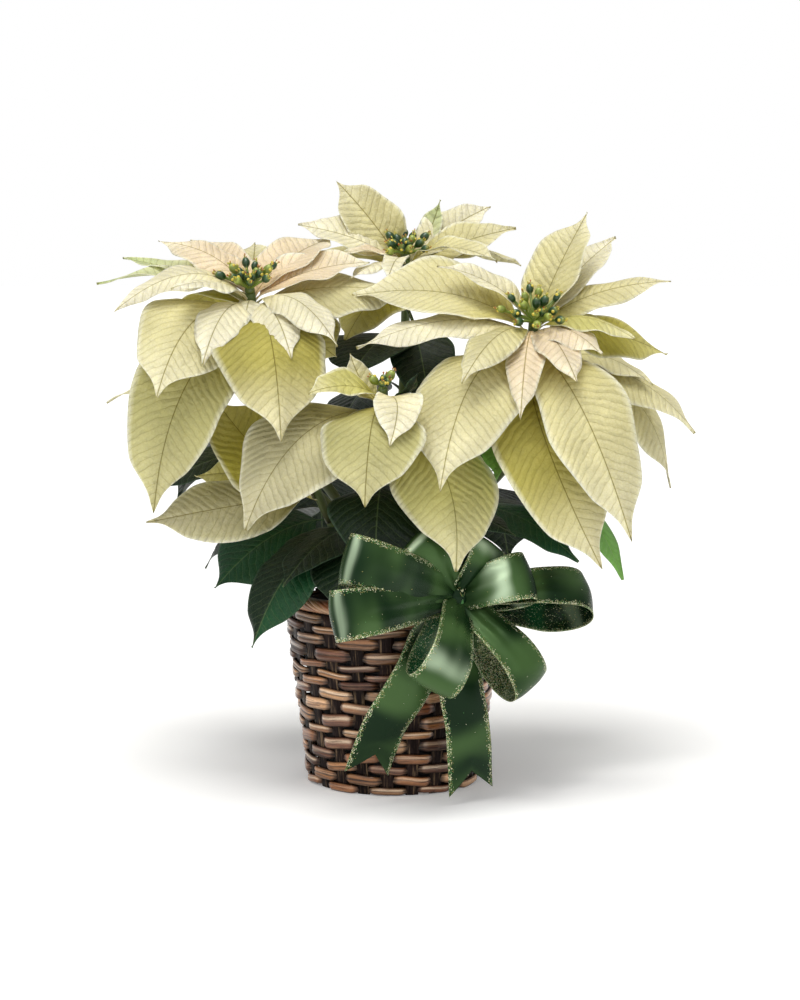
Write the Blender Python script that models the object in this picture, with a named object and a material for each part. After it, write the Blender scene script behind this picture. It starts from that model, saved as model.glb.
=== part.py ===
# Potted poinsettia: a cream poinsettia in a grow pot, inside a woven basket with a ribbon bow.
#
# The origin is on the floor under the middle of the basket, +Z is up and -Y is the front.
# Lengths in the tables and constants are millimetres, and MM turns them into Blender's metres.
# Blooms, leaves and the bow are thin blades: each has a rib from its root to its tip, which
# arches above the straight line between them, and a face on both sides of that rib.

import math
from collections import namedtuple

import bmesh
import bpy
from mathutils import Vector

MM = 0.001
GAP = 0.3                 # between pieces that rest on each other
UP = Vector((0.0, 0.0, 1.0))
GOLDEN_TURN = 0.618       # of a full turn, between one cup and the next
CURVED = 40.0             # degrees between faces, above which an edge stays sharp

# Basket
BASKET_HEIGHT = 141.0     # top of the woven wall, under the border
FOOT_RADIUS = 68.0
MOUTH_RADIUS = 86.0
WALL = 4.6                # from the outside of a float to the inner face
FLOAT_STEP = 2.4          # how far a splint dips where it passes behind a stake
GROOVE = 1.2              # dip between one row and the next
WEAVE_ROWS = 14
STAKES = 22
COLUMNS_PER_STAKE = 2
BASE_THICK = 4.0
BASE_SIDES = 36
BORDER_RADIUS = 5.6       # of the rolled border's section
BORDER_LOBE = 0.9
BORDER_TWISTS = 30
BORDER_STEPS = 44
BORDER_SIDES = 6
NOTCH = 3.4               # dip in the wall's top edge that lets the tie wire through

# Grow pot and soil
POT_SIDES = 24
POT_FOOT = 55.0
POT_MOUTH = 75.4
POT_LIP = 78.4
POT_TOP = 137.0
POT_LIP_HEIGHT = 9.0
POT_WALL = 1.6
DRAIN_RADIUS = 4.0
DRAIN_RING = 36.0
DRAINS = 3
DRAIN_SIDES = 6
DRAIN_OVERSHOOT = 2.0     # of a cutter, past both faces of the pot's floor
SOIL_TOP = 127.0
SOIL_MOUND = 5.0
MOUND_RINGS = ((58.0, 1.5), (36.0, 3.0), (18.0, 4.5))   # radius, height above the soil's edge
LUMP = 1.3
LUMP_WAVES = (0.31, 0.27)
LUMPY = (17.0, 60.0)      # radii between which the mound is uneven
STEM_HOLE_DEPTH = 38.0

# Plant
MAIN_STEM_RADIUS = 6.5
MAIN_STEM_TOP = 172.0
MAIN_STEM_TAPER = 1.0
MAIN_STEM_SIDES = 10
STEM_SIDES = 6
BRANCH_STEPS = 5
BRANCH_END = 6.0                # straight stretch under the bloom
BRANCH_RADIUS = (4.6, 3.4)      # at the main stem, at the bloom
BRANCH_PULL = (0.30, 0.45)      # how strongly its two ends steer it, as shares of its rise
BLOOM_STEM_LENGTH = 36.0
BLOOM_STEM_RADIUS = (3.4, 3.8)  # at the branch, at the top
BLOOM_STEM_SIDES = 7
ROOT_REACH = 1.6                # from the stem's middle to a bract's root

# True flowers
CUP_LEAN = (16.0, 36.0)         # degrees from the bloom's axis: the innermost, and how much more
CUP_REACH = (16.0, 8.5)          # length of the innermost, and how much more
CUP_SIDES = 4
CUP_STALK_RADIUS = 1.1
CUP_BELLY = (3.0, 3.0)          # its radius, and how far before the cup's mouth it is
CUP_NECK = 6.5                  # where the stalk widens, before the cup's mouth
CUP_MOUTH = (1.8, 0.8)          # its radius, and how far past the cup's length it is
DOME = ((0.0, 3.4), (4.0, 3.8), (6.0, 2.0))   # height, radius
CUP_START = 3.0                 # up the dome

# Blades
BLADE_THICK = 0.8
STALK_THICK = 1.9
STALK_THINS = 0.12        # share of the length over which the stalk thins to the blade
STALK_WIDTH = 2.6
TIP_WIDTH = 1.6
BRACT_STALK = 0.07        # share of the length before the blade widens
LEAF_STALK = 0.24
LARGE_STATIONS = (0.0, 0.15, 0.38, 0.68, 1.0)
SMALL_STATIONS = (0.0, 0.24, 0.60, 1.0)
SMALL_BLADE = 104.0       # a blade with a shorter chord has the fewer stations
WIDEST = (0.80, 0.95)     # powers of the outline: how full it is by the root and by the tip
EARLY = 0.8               # power that brings the arch's crest nearer to the root
ROLL_IN = 0.3             # share of the length over which a blade takes up its roll
FOLD_IN = 0.2
SLOPE_STEP = 0.02

# Ribbon
RIBBON_WIDTH = 38.0
RIBBON_THICK = 0.8
BOW_AZIMUTH = math.radians(-61.5)
PINCH_RADIUS = 101.0      # from the basket's axis to the middle of the bow
PINCH_HEIGHT = 159.0
PINCH_WIDTH = 7.0
CORE_RADIUS = 9.0
CORE_SIDES = 8
WAIST_RADIUS = 3.6
CORE_PLACES = (-8.0, -5.5, -4.0, 4.0, 7.0)    # along the way the bow faces
CORE_NOSE = 0.6           # of the core's radius, at its front
LOOP_STEPS = 8
LOOP_CLEAR = 0.03         # share of a loop's length that the core hides, at each end
LOOP_FLAT = 1.5           # power that flattens a loop by the pinch
TAIL_STEPS = 7
TAIL_SPREAD = 3.0         # how fast a tail widens: full width at this fraction of its length
SWALLOWTAIL = 18.0
WIRE_RADIUS = 0.7
WIRE_SIDES = 5
WIRE_TURN_STEPS = 12
WIRE_BEHIND = 6.9         # from the bow's middle back to the ring of wire
WIRE_SLACK = 0.5          # between the ring of wire and the waist
WIRE_DIP = 1.0            # of the wire, from the ring's top to the border
WIRE_REACH = 11.0         # from the bow's middle back to where the bight meets the border
BIGHT_DEGREES = (60, 100, 140, 180, 220, 250, 280)
BIGHT_RETURN = (1.0, 1.4) # out from the border and up, where the bight turns back

# A bract: its tip, its width, how far its root is below the bloom's top, how far its rib
# arches up and bows to the side, and how its face rolls and folds along the rib in degrees.
Bract = namedtuple("Bract", "tip width drop arch side roll fold")
Bloom = namedtuple("Bloom", "top axis bracts cups")
Leaf = namedtuple("Leaf", "branch along tip width arch side roll fold")

# A bow loop: the way it points and how far forward in degrees, its length and its half height,
# its twist in degrees, and the power of how fast it widens from the pinch.
Loop = namedtuple("Loop", "angle forward length height twist gather")

BLOOMS = {
    "left": Bloom((-110, -20, 383), (-0.10, -0.35, 0.93), [
        Bract((-176, -95, 310), 80, 16, 26, -4, -28, -12),
        Bract((-182, -62, 219), 74, 28, 34, 12, -45, 9),
        Bract((-83, -112, 279), 86, 22, 34, 0, 0, -12),
        Bract((-42, -78, 347), 40, 12, 20, 0, 14, -15),
        Bract((12, 2, 380), 66, 15, 12, 0, 25, -12),
        Bract((-44, -26, 334), 94, 22, 6, 0, 35, -9),
        Bract((-19, 22, 404), 52, 9, 9, 0, 20, 12),
        Bract((-48, 66, 421), 46, 8, 10, 0, 10, 12),
        Bract((-110, 62, 416), 36, 9, 7, 0, 0, 12),
        Bract((-161, 60, 418), 40, 8, 9, 0, -15, 12),
        Bract((-183, 22, 420), 38, 9, 15, 0, -20, -9),
        Bract((-212, -42, 370), 36, 10, 26, 0, -25, -9),
        Bract((-166, -76, 390), 30, 9, 11, 0, -10, -12),
        Bract((-112, -62, 362), 18, 8, 7, 0, 0, -12),
        Bract((-142, -90, 334), 38, 15, 20, 0, -14, -12),
        Bract((-76, -86, 338), 36, 14, 17, 0, 12, -12),
        Bract((-176, 84, 344), 56, 24, 28, 0, 0, -9),
        Bract((-214, 52, 405), 32, 13, 8, 0, -10, 12),
        Bract((-232, 24, 387), 32, 17, 18, 0, -10, 12),
    ], 6),
    "top": Bloom((9, 60, 405), (0.0, -0.30, 0.95), [
        Bract((-46, 82, 465), 45, 12, 4, 0, -60, 9),
        Bract((37, 90, 450), 24, 13, -7, 3, 20, 14),
        Bract((78, 112, 444), 36, 9, 6, 0, 35, 12),
        Bract((97, 72, 428), 36, 12, 6, 0, 40, 12),
        Bract((80, 10, 405), 30, 8, 14, 0, 15, 16),
        Bract((-76, 62, 431), 42, 8, 7, 0, -35, 12),
        Bract((-40, 28, 411), 20, 6, 6, 0, -15, 14),
        Bract((-5, 6, 390), 20, 6, 11, 0, 0, 14),
        Bract((-34, 0, 392), 24, 9, 9, 0, 0, -12),
        Bract((-38, 18, 343), 64, 26, 12, 0, 0, -9),
        Bract((18, 178, 384), 62, 23, 34, 0, 0, -9),
        Bract((-76, 142, 396), 54, 20, 22, 0, 0, -9),
        Bract((104, 142, 394), 54, 20, 22, 0, 0, -9),
    ], 6),
    "right": Bloom((106, -40, 359), (0.05, -0.60, 0.80), [
        Bract((149, 2, 443), 52, 8, 4, 0, 8, 12),
        Bract((174, 40, 422), 46, 10, 8, 0, 5, 12),
        Bract((212, -20, 392), 32, 8, 12, 0, 30, -12),
        Bract((155, -86, 341), 42, 9, 12, 0, 5, -15),
        Bract((182, -52, 350), 42, 8, 15, 0, 10, -12),
        Bract((213, 18, 332), 50, 18, 14, 0, 40, -9),
        Bract((-32, -14, 380), 76, 14, 20, 0, -30, 9),
        Bract((-28, -62, 344), 46, 11, 17, 0, -20, -12),
        Bract((50, -121, 323), 38, 8, 17, 0, -10, -15),
        Bract((34, -134, 245), 86, 24, 32, -4, -10, -12),
        Bract((93, -124, 297), 28, 6, 17, 0, 0, -12),
        Bract((135, -112, 323), 34, 8, 13, 0, 0, -12),
        Bract((33, -22, 404), 28, 4, 12, 0, -20, 12),
        Bract((177, -106, 204), 64, 24, 38, -24, 38, 9),
        Bract((156, -92, 181), 78, 33, 28, -36, 30, 9),
    ], 7),
    "front": Bloom((-8, -75, 312), (0.0, -0.45, 0.89), [
        Bract((-63, -102, 314), 34, 8, 9, 0, -30, 14),
        Bract((-33, -62, 340), 20, 11, -4, 0, -50, 12),
        Bract((-3, -134, 278), 38, 6, 13, 8, 0, 20),
        Bract((-21, -150, 236), 80, 16, 26, 0, 0, -12),
        Bract((-110, -112, 213), 88, 20, 28, 0, -30, -9),
        Bract((46, -118, 183), 90, 26, 22, 12, 14, -9),
        Bract((18, -92, 328), 16, 12, -6, 0, 0, 12),
    ], 4),
    "low_left": Bloom((-62, -36, 238), (-0.35, -0.35, 0.87), [
        Bract((-188, -60, 211), 60, 10, 2, 0, -45, -9),
        Bract((-138, -22, 302), 76, 14, -4, 14, -50, 12),
        Bract((-156, 20, 236), 60, 12, 10, 0, -50, -9),
        Bract((-96, -66, 258), 18, 14, -5, 0, 0, 12),
    ], 3),
    "back_left": Bloom((-112, 100, 312), (-0.25, 0.35, 0.90), [
        Bract((-232, 90, 286), 58, 18, 22, 0, 0, -12),
        Bract((-180, 196, 258), 64, 20, 36, 0, 0, -12),
        Bract((-96, 218, 266), 66, 18, 34, 0, 0, -12),
        Bract((-186, 152, 316), 42, 12, 8, 0, 0, 9),
        Bract((-128, 186, 334), 38, 15, 4, 0, 0, 9),
        Bract((-62, 166, 330), 38, 11, 6, 0, 0, 9),
        Bract((-180, 82, 320), 34, 10, 6, 0, 0, 9),
    ], 4),
    "back_right": Bloom((126, 98, 318), (0.25, 0.35, 0.90), [
        Bract((241, 60, 266), 62, 18, 28, 0, 12, -12),
        Bract((225, 98, 216), 60, 24, 40, 0, 30, -12),
        Bract((188, 192, 262), 64, 20, 36, 0, 0, -12),
        Bract((96, 220, 272), 66, 18, 34, 0, 0, -12),
        Bract((206, 58, 304), 40, 10, 20, 0, 10, -9),
        Bract((196, 146, 324), 40, 12, 8, 0, 0, 9),
        Bract((138, 184, 338), 38, 15, 4, 0, 0, 9),
        Bract((70, 170, 334), 36, 11, 6, 0, 0, 9),
    ], 4),
}

# Where each branch leaves the main stem, and how far it swells outwards on its way up.
BRANCHES = {
    "left": (150, 26), "top": (166, 6), "right": (156, 24), "front": (160, 16),
    "low_left": (146, 10), "back_left": (154, 26), "back_right": (148, 26),
}

LEAVES = [
    Leaf("front", 0.34, (-107, -84, 119), 60, 26, -8, -18, -6),
    Leaf("left", 0.22, (-138, -34, 156), 86, 22, 0, -28, -6),
    Leaf("right", 0.25, (142, -42, 178), 58, 22, 0, 10, -6),
    Leaf("right", 0.45, (178, -24, 161), 56, 30, 0, 10, -6),
    Leaf("right", 0.72, (76, -102, 250), 38, 8, 0, 0, 6),
    Leaf("top", 0.74, (-34, -36, 318), 68, 14, 0, 0, 6),
    Leaf("top", 0.84, (28, -26, 292), 52, 12, 0, 0, 6),
    Leaf("front", 0.52, (-14, -112, 182), 72, 31, 0, 0, -6),
    Leaf("front", 0.28, (-46, -100, 150), 66, 24, 0, 0, -6),
    Leaf("front", 0.20, (-84, -84, 166), 60, 26, 0, 0, -6),
    Leaf("front", 0.40, (92, -78, 204), 50, 14, 0, 0, -6),
    Leaf("left", 0.34, (-152, 60, 156), 62, 26, 0, -30, -6),
    Leaf("back_left", 0.30, (-128, 128, 142), 66, 30, 0, 0, -6),
    Leaf("back_left", 0.50, (-60, 168, 150), 66, 34, 0, 0, -6),
    Leaf("top", 0.22, (20, 160, 140), 66, 34, 0, 0, -6),
    Leaf("back_right", 0.40, (96, 156, 148), 66, 34, 0, 0, -6),
    Leaf("back_right", 0.30, (148, 100, 168), 66, 30, 0, 0, -6),
    Leaf("right", 0.16, (156, 40, 180), 58, 24, 0, 0, -6),
    Leaf("back_left", 0.70, (-178, 120, 200), 54, 30, 0, 0, -6),
    Leaf("top", 0.50, (36, 172, 236), 58, 26, 0, 0, -6),
    Leaf("top", 0.58, (-48, 150, 250), 54, 24, 0, 0, -6),
    Leaf("back_left", 0.58, (-190, 44, 222), 50, 20, 0, -20, -6),
    Leaf("top", 0.66, (66, -10, 300), 54, 10, 0, 20, 6),
    Leaf("right", 0.36, (184, 74, 196), 52, 26, 0, 0, -6),
]

LOOPS = [
    Loop(159, 10, 112, 21, 6, 0.35),
    Loop(180, 14, 122, 20, 12, 0.8),
    Loop(232, 30, 82, 22, 8, 0.5),
    Loop(302, 24, 86, 20, -16, 0.6),
    Loop(355, 6, 108, 27, -42, 0.8),
    Loop(17, 26, 56, 20, -32, 0.5),
    Loop(124, 4, 60, 14, 0, 0.9),
    Loop(61, 2, 46, 15, 8, 0.7),
]

# Each tail: the places that its middle line passes, from the pinch to its end.
TAILS = [
    ((34, -95, 140), (14, -102, 98), (-8, -98, 60), (-18, -93, 32)),
    ((48, -92, 140), (50, -98, 98), (56, -97, 56), (58, -92, 18)),
]

COLOURS = {
    "bract": (0.86, 0.83, 0.58), "cup": (0.16, 0.26, 0.06), "plant": (0.03, 0.12, 0.04),
    "wicker": (0.24, 0.13, 0.07), "pot": (0.05, 0.05, 0.05), "soil": (0.07, 0.045, 0.03),
    "ribbon": (0.03, 0.20, 0.08), "wire": (0.05, 0.16, 0.07),
}

SATIN = 0.35
MATT = 0.6


def clear_scene():
    for obj in list(bpy.data.objects):
        bpy.data.objects.remove(obj)


def make_material(name, colour, roughness):
    material = bpy.data.materials.new(name)
    material.use_nodes = True
    shader = material.node_tree.nodes["Principled BSDF"]
    shader.inputs["Base Color"].default_value = (*colour, 1.0)
    shader.inputs["Roughness"].default_value = roughness
    return material


def add_object(name, points, faces, material=None):
    """Adds one mesh object from points in millimetres."""
    mesh = bpy.data.meshes.new(name)
    mesh.from_pydata([Vector(p) * MM for p in points], [], faces)
    if material:
        mesh.materials.append(material)
    mesh.shade_smooth()
    mesh.set_sharp_from_angle(angle=math.radians(CURVED))
    obj = bpy.data.objects.new(name, mesh)
    bpy.context.scene.collection.objects.link(obj)
    return obj


def keep_outer_shell(mesh):
    """Keeps the largest shell, which fills each hollow that fusing sealed and drops scraps."""
    work = bmesh.new()
    work.from_mesh(mesh)
    waiting = set(work.verts)
    shells = []
    while waiting:
        shell = [waiting.pop()]
        for vert in shell:
            for edge in vert.link_edges:
                other = edge.other_vert(vert)
                if other in waiting:
                    waiting.remove(other)
                    shell.append(other)
        shells.append(shell)
    shells.sort(key=len)
    bmesh.ops.delete(work, geom=[vert for shell in shells[:-1] for vert in shell], context="VERTS")
    bmesh.ops.triangulate(work, faces=work.faces)
    work.to_mesh(mesh)
    work.free()


def fuse(name, solids, material):
    """Joins overlapping closed solids into one body with one Boolean union on a collection."""
    base = add_object(name, *solids[0])
    parts = bpy.data.collections.new(name + "_parts")
    bpy.context.scene.collection.children.link(parts)
    for points, faces in solids[1:]:
        piece = add_object(name + "_piece", points, faces)
        bpy.context.scene.collection.objects.unlink(piece)
        parts.objects.link(piece)
    union = base.modifiers.new("union", "BOOLEAN")
    union.operation = "UNION"
    union.operand_type = "COLLECTION"
    union.solver = "MANIFOLD"
    union.collection = parts
    graph = bpy.context.evaluated_depsgraph_get()
    joined = bpy.data.meshes.new_from_object(base.evaluated_get(graph))
    base.modifiers.clear()
    base.data = joined
    for piece in list(parts.objects):
        bpy.data.objects.remove(piece)
    bpy.data.collections.remove(parts)
    keep_outer_shell(joined)
    joined.materials.clear()
    joined.materials.append(material)
    joined.shade_smooth()
    joined.set_sharp_from_angle(angle=math.radians(CURVED))
    return base


def loft(rings, close_ends=True):
    """Triangles over a row of closed rings that all have the same number of points."""
    points = [p for ring in rings for p in ring]
    count = len(rings[0])
    faces = []
    for row in range(len(rings) - 1):
        for side in range(count):
            a = row * count + side
            b = row * count + (side + 1) % count
            faces.append((a, b, b + count))
            faces.append((a, b + count, a + count))
    if close_ends:
        last = (len(rings) - 1) * count
        for side in range(1, count - 1):
            faces.append((0, side + 1, side))
            faces.append((last, last + side, last + side + 1))
    return points, faces


def closed_loft(rings):
    """Triangles over rings whose last one joins the first, as in a torus."""
    points, faces = loft(rings + [rings[0]], close_ends=False)
    count = len(points) - len(rings[0])
    return points[:count], [tuple(index % count for index in face) for face in faces]


def turned(profile, sides):
    """Turns a profile of (radius, height) about the Z axis; a zero radius is a single point."""
    points, rows = [], []
    for radius, height in profile:
        if radius == 0.0:
            rows.append([len(points)] * sides)
            points.append(Vector((0.0, 0.0, height)))
            continue
        rows.append([len(points) + i for i in range(sides)])
        for i in range(sides):
            angle = 2.0 * math.pi * i / sides
            points.append(Vector((radius * math.cos(angle), radius * math.sin(angle), height)))
    faces = []
    for low, high in zip(rows, rows[1:]):
        for i in range(sides):
            j = (i + 1) % sides
            for face in ((low[i], low[j], high[j]), (low[i], high[j], high[i])):
                if len(set(face)) == 3:
                    faces.append(face)
    return points, faces


def across_frame(direction):
    """Two directions at right angles to a given one."""
    helper = Vector((1.0, 0.0, 0.0)) if abs(direction.x) < 0.8 else Vector((0.0, 1.0, 0.0))
    first = direction.cross(helper).normalized()
    return first, direction.cross(first)


def tube(path, radii, sides):
    """A round tube through the points of a path, with a radius at each."""
    rings = []
    first = None
    for i, point in enumerate(path):
        ahead = path[min(i + 1, len(path) - 1)] - path[max(i - 1, 0)]
        direction = ahead.normalized()
        if first is None:
            first, second = across_frame(direction)
        else:
            first = (first - direction * first.dot(direction)).normalized()
            second = direction.cross(first)
        rings.append([point + radii[i] * (first * math.cos(turn) + second * math.sin(turn))
                      for turn in (2.0 * math.pi * s / sides for s in range(sides))])
    return loft(rings)


def bezier(p0, p1, p2, p3, t):
    s = 1.0 - t
    return p0 * s ** 3 + p1 * 3.0 * s * s * t + p2 * 3.0 * s * t * t + p3 * t ** 3


def rib_point(root, tip, arch, side, t):
    """A point of a blade's rib: the straight line from root to tip, arched up and bowed."""
    chord = tip - root
    heading = Vector((chord.x, chord.y, 0.0)).normalized()
    left = UP.cross(heading)
    lift = chord.normalized().cross(left)
    early = t ** EARLY
    bump = 4.0 * early * (1.0 - early)
    return root + chord * t + lift * (arch * bump) + left * (side * bump), left


def outline(t, width, stalk):
    """Half the blade's width at t: a thin stalk, then an oval that runs to a drawn-out tip."""
    share = (t - stalk) / (1.0 - stalk)
    if share <= 0.0:
        return STALK_WIDTH / 2.0
    by_root, by_tip = WIDEST
    crest = by_root / (by_root + by_tip)
    peak = crest ** by_root * (1.0 - crest) ** by_tip
    oval = share ** by_root * max(0.0, 1.0 - share) ** by_tip / peak
    narrow = STALK_WIDTH if share < crest else TIP_WIDTH
    return max(narrow / 2.0, oval * width / 2.0)


def blade(root, tip, width, arch, side, roll, fold, stalk):
    """One bract or leaf as a closed thin solid: edge, rib and edge on both faces."""
    chord = (tip - root).length
    stations = SMALL_STATIONS if chord < SMALL_BLADE else LARGE_STATIONS
    rings = []
    for t in stations:
        before, left = rib_point(root, tip, arch, side, max(0.0, t - SLOPE_STEP))
        after, left = rib_point(root, tip, arch, side, min(1.0, t + SLOPE_STEP))
        rib, left = rib_point(root, tip, arch, side, t)
        along = (after - before).normalized()
        flat = (left - along * left.dot(along)).normalized()
        face = along.cross(flat)
        turn = math.radians(roll) * min(1.0, t / ROLL_IN)
        flat, face = (flat * math.cos(turn) + face * math.sin(turn),
                      face * math.cos(turn) - flat * math.sin(turn))
        bend = math.radians(fold) * min(1.0, t / FOLD_IN)
        half = outline(t, width, stalk)
        rise = face * (half * math.sin(bend))
        reach = flat * (half * math.cos(bend))
        thick = BLADE_THICK + (STALK_THICK - BLADE_THICK) * max(0.0, 1.0 - t / STALK_THINS)
        above = face * (thick / 2.0)
        rings.append([rib + reach + rise + above, rib + above, rib - reach + rise + above,
                      rib - reach + rise - above, rib - above, rib + reach + rise - above])
    return blade_faces(rings)


def blade_faces(rings):
    """Joins a blade's sections, with the triangles alike on its two faces."""
    points = [p for ring in rings for p in ring]
    faces = []
    for row in range(len(rings) - 1):
        a, b = row * 6, row * 6 + 6
        faces += [(a, a + 1, b + 1), (a, b + 1, b)]
        faces += [(a + 1, a + 2, b + 1), (a + 2, b + 2, b + 1)]
        faces += [(a + 4, b + 4, a + 3), (b + 4, b + 3, a + 3)]
        faces += [(a + 5, b + 4, a + 4), (a + 5, b + 5, b + 4)]
        faces += [(a + 2, a + 3, b + 3), (a + 2, b + 3, b + 2)]
        faces += [(a + 5, a, b), (a + 5, b, b + 5)]
    last = (len(rings) - 1) * 6
    faces += [(0, 5, 1), (5, 4, 1), (1, 4, 2), (4, 3, 2)]
    faces += [(last, last + 1, last + 5), (last + 1, last + 4, last + 5),
              (last + 1, last + 2, last + 4), (last + 2, last + 3, last + 4)]
    return points, faces


def bloom_foot(bloom):
    """Where a bloom's own stem starts, on the end of its branch."""
    axis = Vector(bloom.axis).normalized()
    return Vector(bloom.top) - axis * BLOOM_STEM_LENGTH, axis


def bloom_solids(bloom):
    foot, axis = bloom_foot(bloom)
    top = Vector(bloom.top)
    solids = [tube([foot + axis * GAP, top], BLOOM_STEM_RADIUS, BLOOM_STEM_SIDES)]
    for bract in bloom.bracts:
        tip = Vector(bract.tip)
        heading = tip - top
        heading = (heading - axis * heading.dot(axis)).normalized()
        root = top - axis * bract.drop + heading * ROOT_REACH
        solids.append(blade(root, tip, bract.width, bract.arch, bract.side,
                            bract.roll, bract.fold, BRACT_STALK))
    return solids


def cup_solids(bloom):
    """The true flowers: little cups on short stalks that spread from a low dome."""
    axis = Vector(bloom.axis).normalized()
    first, second = across_frame(axis)
    seat = Vector(bloom.top) + axis * GAP
    solids = [tube([seat + axis * height for height, radius in DOME],
                   [radius for height, radius in DOME], BLOOM_STEM_SIDES)]
    start = seat + axis * CUP_START
    belly, belly_back = CUP_BELLY
    mouth, mouth_past = CUP_MOUTH
    for i in range(bloom.cups):
        turn = 2.0 * math.pi * (i * GOLDEN_TURN)
        lean = math.radians(CUP_LEAN[0] + CUP_LEAN[1] * math.sqrt((i + 0.5) / bloom.cups))
        out = first * math.cos(turn) + second * math.sin(turn)
        direction = axis * math.cos(lean) + out * math.sin(lean)
        length = CUP_REACH[0] + CUP_REACH[1] * (i / bloom.cups)
        profile = [(0.0, CUP_STALK_RADIUS), (length - CUP_NECK, CUP_STALK_RADIUS),
                   (length - belly_back, belly), (length + mouth_past, mouth)]
        solids.append(tube([start + direction * reach for reach, radius in profile],
                           [radius for reach, radius in profile], CUP_SIDES))
    return solids


def branch_path(name):
    """The middle line of a branch, from inside the main stem to its bloom's foot."""
    start_height, swell = BRANCHES[name]
    end, axis = bloom_foot(BLOOMS[name])
    start = Vector((0.0, 0.0, start_height))
    outward = Vector((end.x, end.y, 0.0)).normalized()
    rise = end.z - start_height
    low_pull, high_pull = BRANCH_PULL
    first = start + outward * swell + UP * (rise * low_pull)
    second = end - axis * (rise * high_pull)
    curve = [bezier(start, first, second, end - axis * BRANCH_END, i / BRANCH_STEPS)
             for i in range(BRANCH_STEPS + 1)]
    return curve + [end]


def along_path(path, share):
    place = share * (len(path) - 1)
    index = min(int(place), len(path) - 2)
    return path[index].lerp(path[index + 1], place - index)


def plant_solids():
    low = SOIL_TOP + SOIL_MOUND - STEM_HOLE_DEPTH + GAP
    heights = (low, SOIL_TOP, MAIN_STEM_TOP)
    solids = [tube([Vector((0.0, 0.0, h)) for h in heights],
                   (MAIN_STEM_RADIUS, MAIN_STEM_RADIUS, MAIN_STEM_RADIUS - MAIN_STEM_TAPER),
                   MAIN_STEM_SIDES)]
    paths = {}
    for name in BRANCHES:
        paths[name] = branch_path(name)
        thick, thin = BRANCH_RADIUS
        last = len(paths[name]) - 1
        radii = [thick + (thin - thick) * i / last for i in range(last + 1)]
        solids.append(tube(paths[name], radii, STEM_SIDES))
    for leaf in LEAVES:
        root = along_path(paths[leaf.branch], leaf.along)
        solids.append(blade(root, Vector(leaf.tip), leaf.width, leaf.arch, leaf.side,
                            leaf.roll, leaf.fold, LEAF_STALK))
    return solids


def basket_radius(height):
    return FOOT_RADIUS + (MOUTH_RADIUS - FOOT_RADIUS) * height / BASKET_HEIGHT


def weave_wall():
    """The woven wall: floats stand out and dip behind every second stake, row by row."""
    columns = STAKES * COLUMNS_PER_STAKE
    lines = WEAVE_ROWS * 2
    period = COLUMNS_PER_STAKE * 2
    points = []
    for line in range(lines + 1):
        height = BASKET_HEIGHT * line / lines
        row = line // 2
        for column in range(columns):
            angle = BOW_AZIMUTH + 2.0 * math.pi * column / columns
            radius = basket_radius(height)
            if line % 2 == 0:
                radius -= GROOVE
            elif (column + row * COLUMNS_PER_STAKE) % period == 0:
                radius -= FLOAT_STEP
            dip = NOTCH if line == lines and column == 0 else 0.0
            points.append(Vector((radius * math.cos(angle), radius * math.sin(angle),
                                  height - dip)))
    for height in (BASKET_HEIGHT, 0.0):
        for column in range(columns):
            angle = BOW_AZIMUTH + 2.0 * math.pi * column / columns
            radius = basket_radius(height) - WALL
            dip = NOTCH if height > 0.0 and column == 0 else 0.0
            points.append(Vector((radius * math.cos(angle), radius * math.sin(angle),
                                  height - dip)))
    rows = lines + 3
    faces = []
    for row in range(rows):
        nxt = (row + 1) % rows
        for column in range(columns):
            right = (column + 1) % columns
            a, b = row * columns + column, row * columns + right
            c, d = nxt * columns + right, nxt * columns + column
            faces += [(a, b, c), (a, c, d)]
    return points, faces


def border_ring():
    """The rolled border: a ring whose strands wind round it on the slant."""
    ring_radius = MOUTH_RADIUS - WALL / 2.0
    middle = BASKET_HEIGHT + GAP + BORDER_RADIUS
    rings = []
    for step in range(BORDER_STEPS):
        angle = BOW_AZIMUTH + 2.0 * math.pi * step / BORDER_STEPS
        out = Vector((math.cos(angle), math.sin(angle), 0.0))
        ring = []
        for side in range(BORDER_SIDES):
            turn = 2.0 * math.pi * (side + 0.5) / BORDER_SIDES
            lobe = BORDER_LOBE * math.cos(turn + BORDER_TWISTS * angle)
            radius = BORDER_RADIUS - BORDER_LOBE + lobe
            ring.append(out * (ring_radius + radius * math.cos(turn))
                        + UP * (middle - radius * math.sin(turn)))
        rings.append(ring)
    return closed_loft(rings)


def base_disc():
    radius = basket_radius(0.0) - WALL - GAP
    return turned([(0.0, 0.0), (radius, 0.0), (radius, BASE_THICK), (0.0, BASE_THICK)],
                  BASE_SIDES)


def grow_pot():
    low = BASE_THICK + GAP
    lip = POT_TOP - POT_LIP_HEIGHT
    profile = [(0.0, low), (POT_FOOT, low), (POT_MOUTH, lip), (POT_LIP, lip), (POT_LIP, POT_TOP),
               (POT_LIP - POT_WALL, POT_TOP), (POT_LIP - POT_WALL, lip + POT_WALL),
               (POT_MOUTH - POT_WALL, lip), (POT_FOOT - POT_WALL, low + POT_WALL),
               (0.0, low + POT_WALL)]
    return turned(profile, POT_SIDES)


def drain_cutter(index):
    angle = 2.0 * math.pi * index / DRAINS
    centre = Vector((DRAIN_RING * math.cos(angle), DRAIN_RING * math.sin(angle), 0.0))
    low = BASE_THICK + GAP
    high = low + POT_WALL
    return tube([centre + UP * (low - DRAIN_OVERSHOOT), centre + UP * (high + DRAIN_OVERSHOOT)],
                (DRAIN_RADIUS, DRAIN_RADIUS), DRAIN_SIDES)


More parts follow.
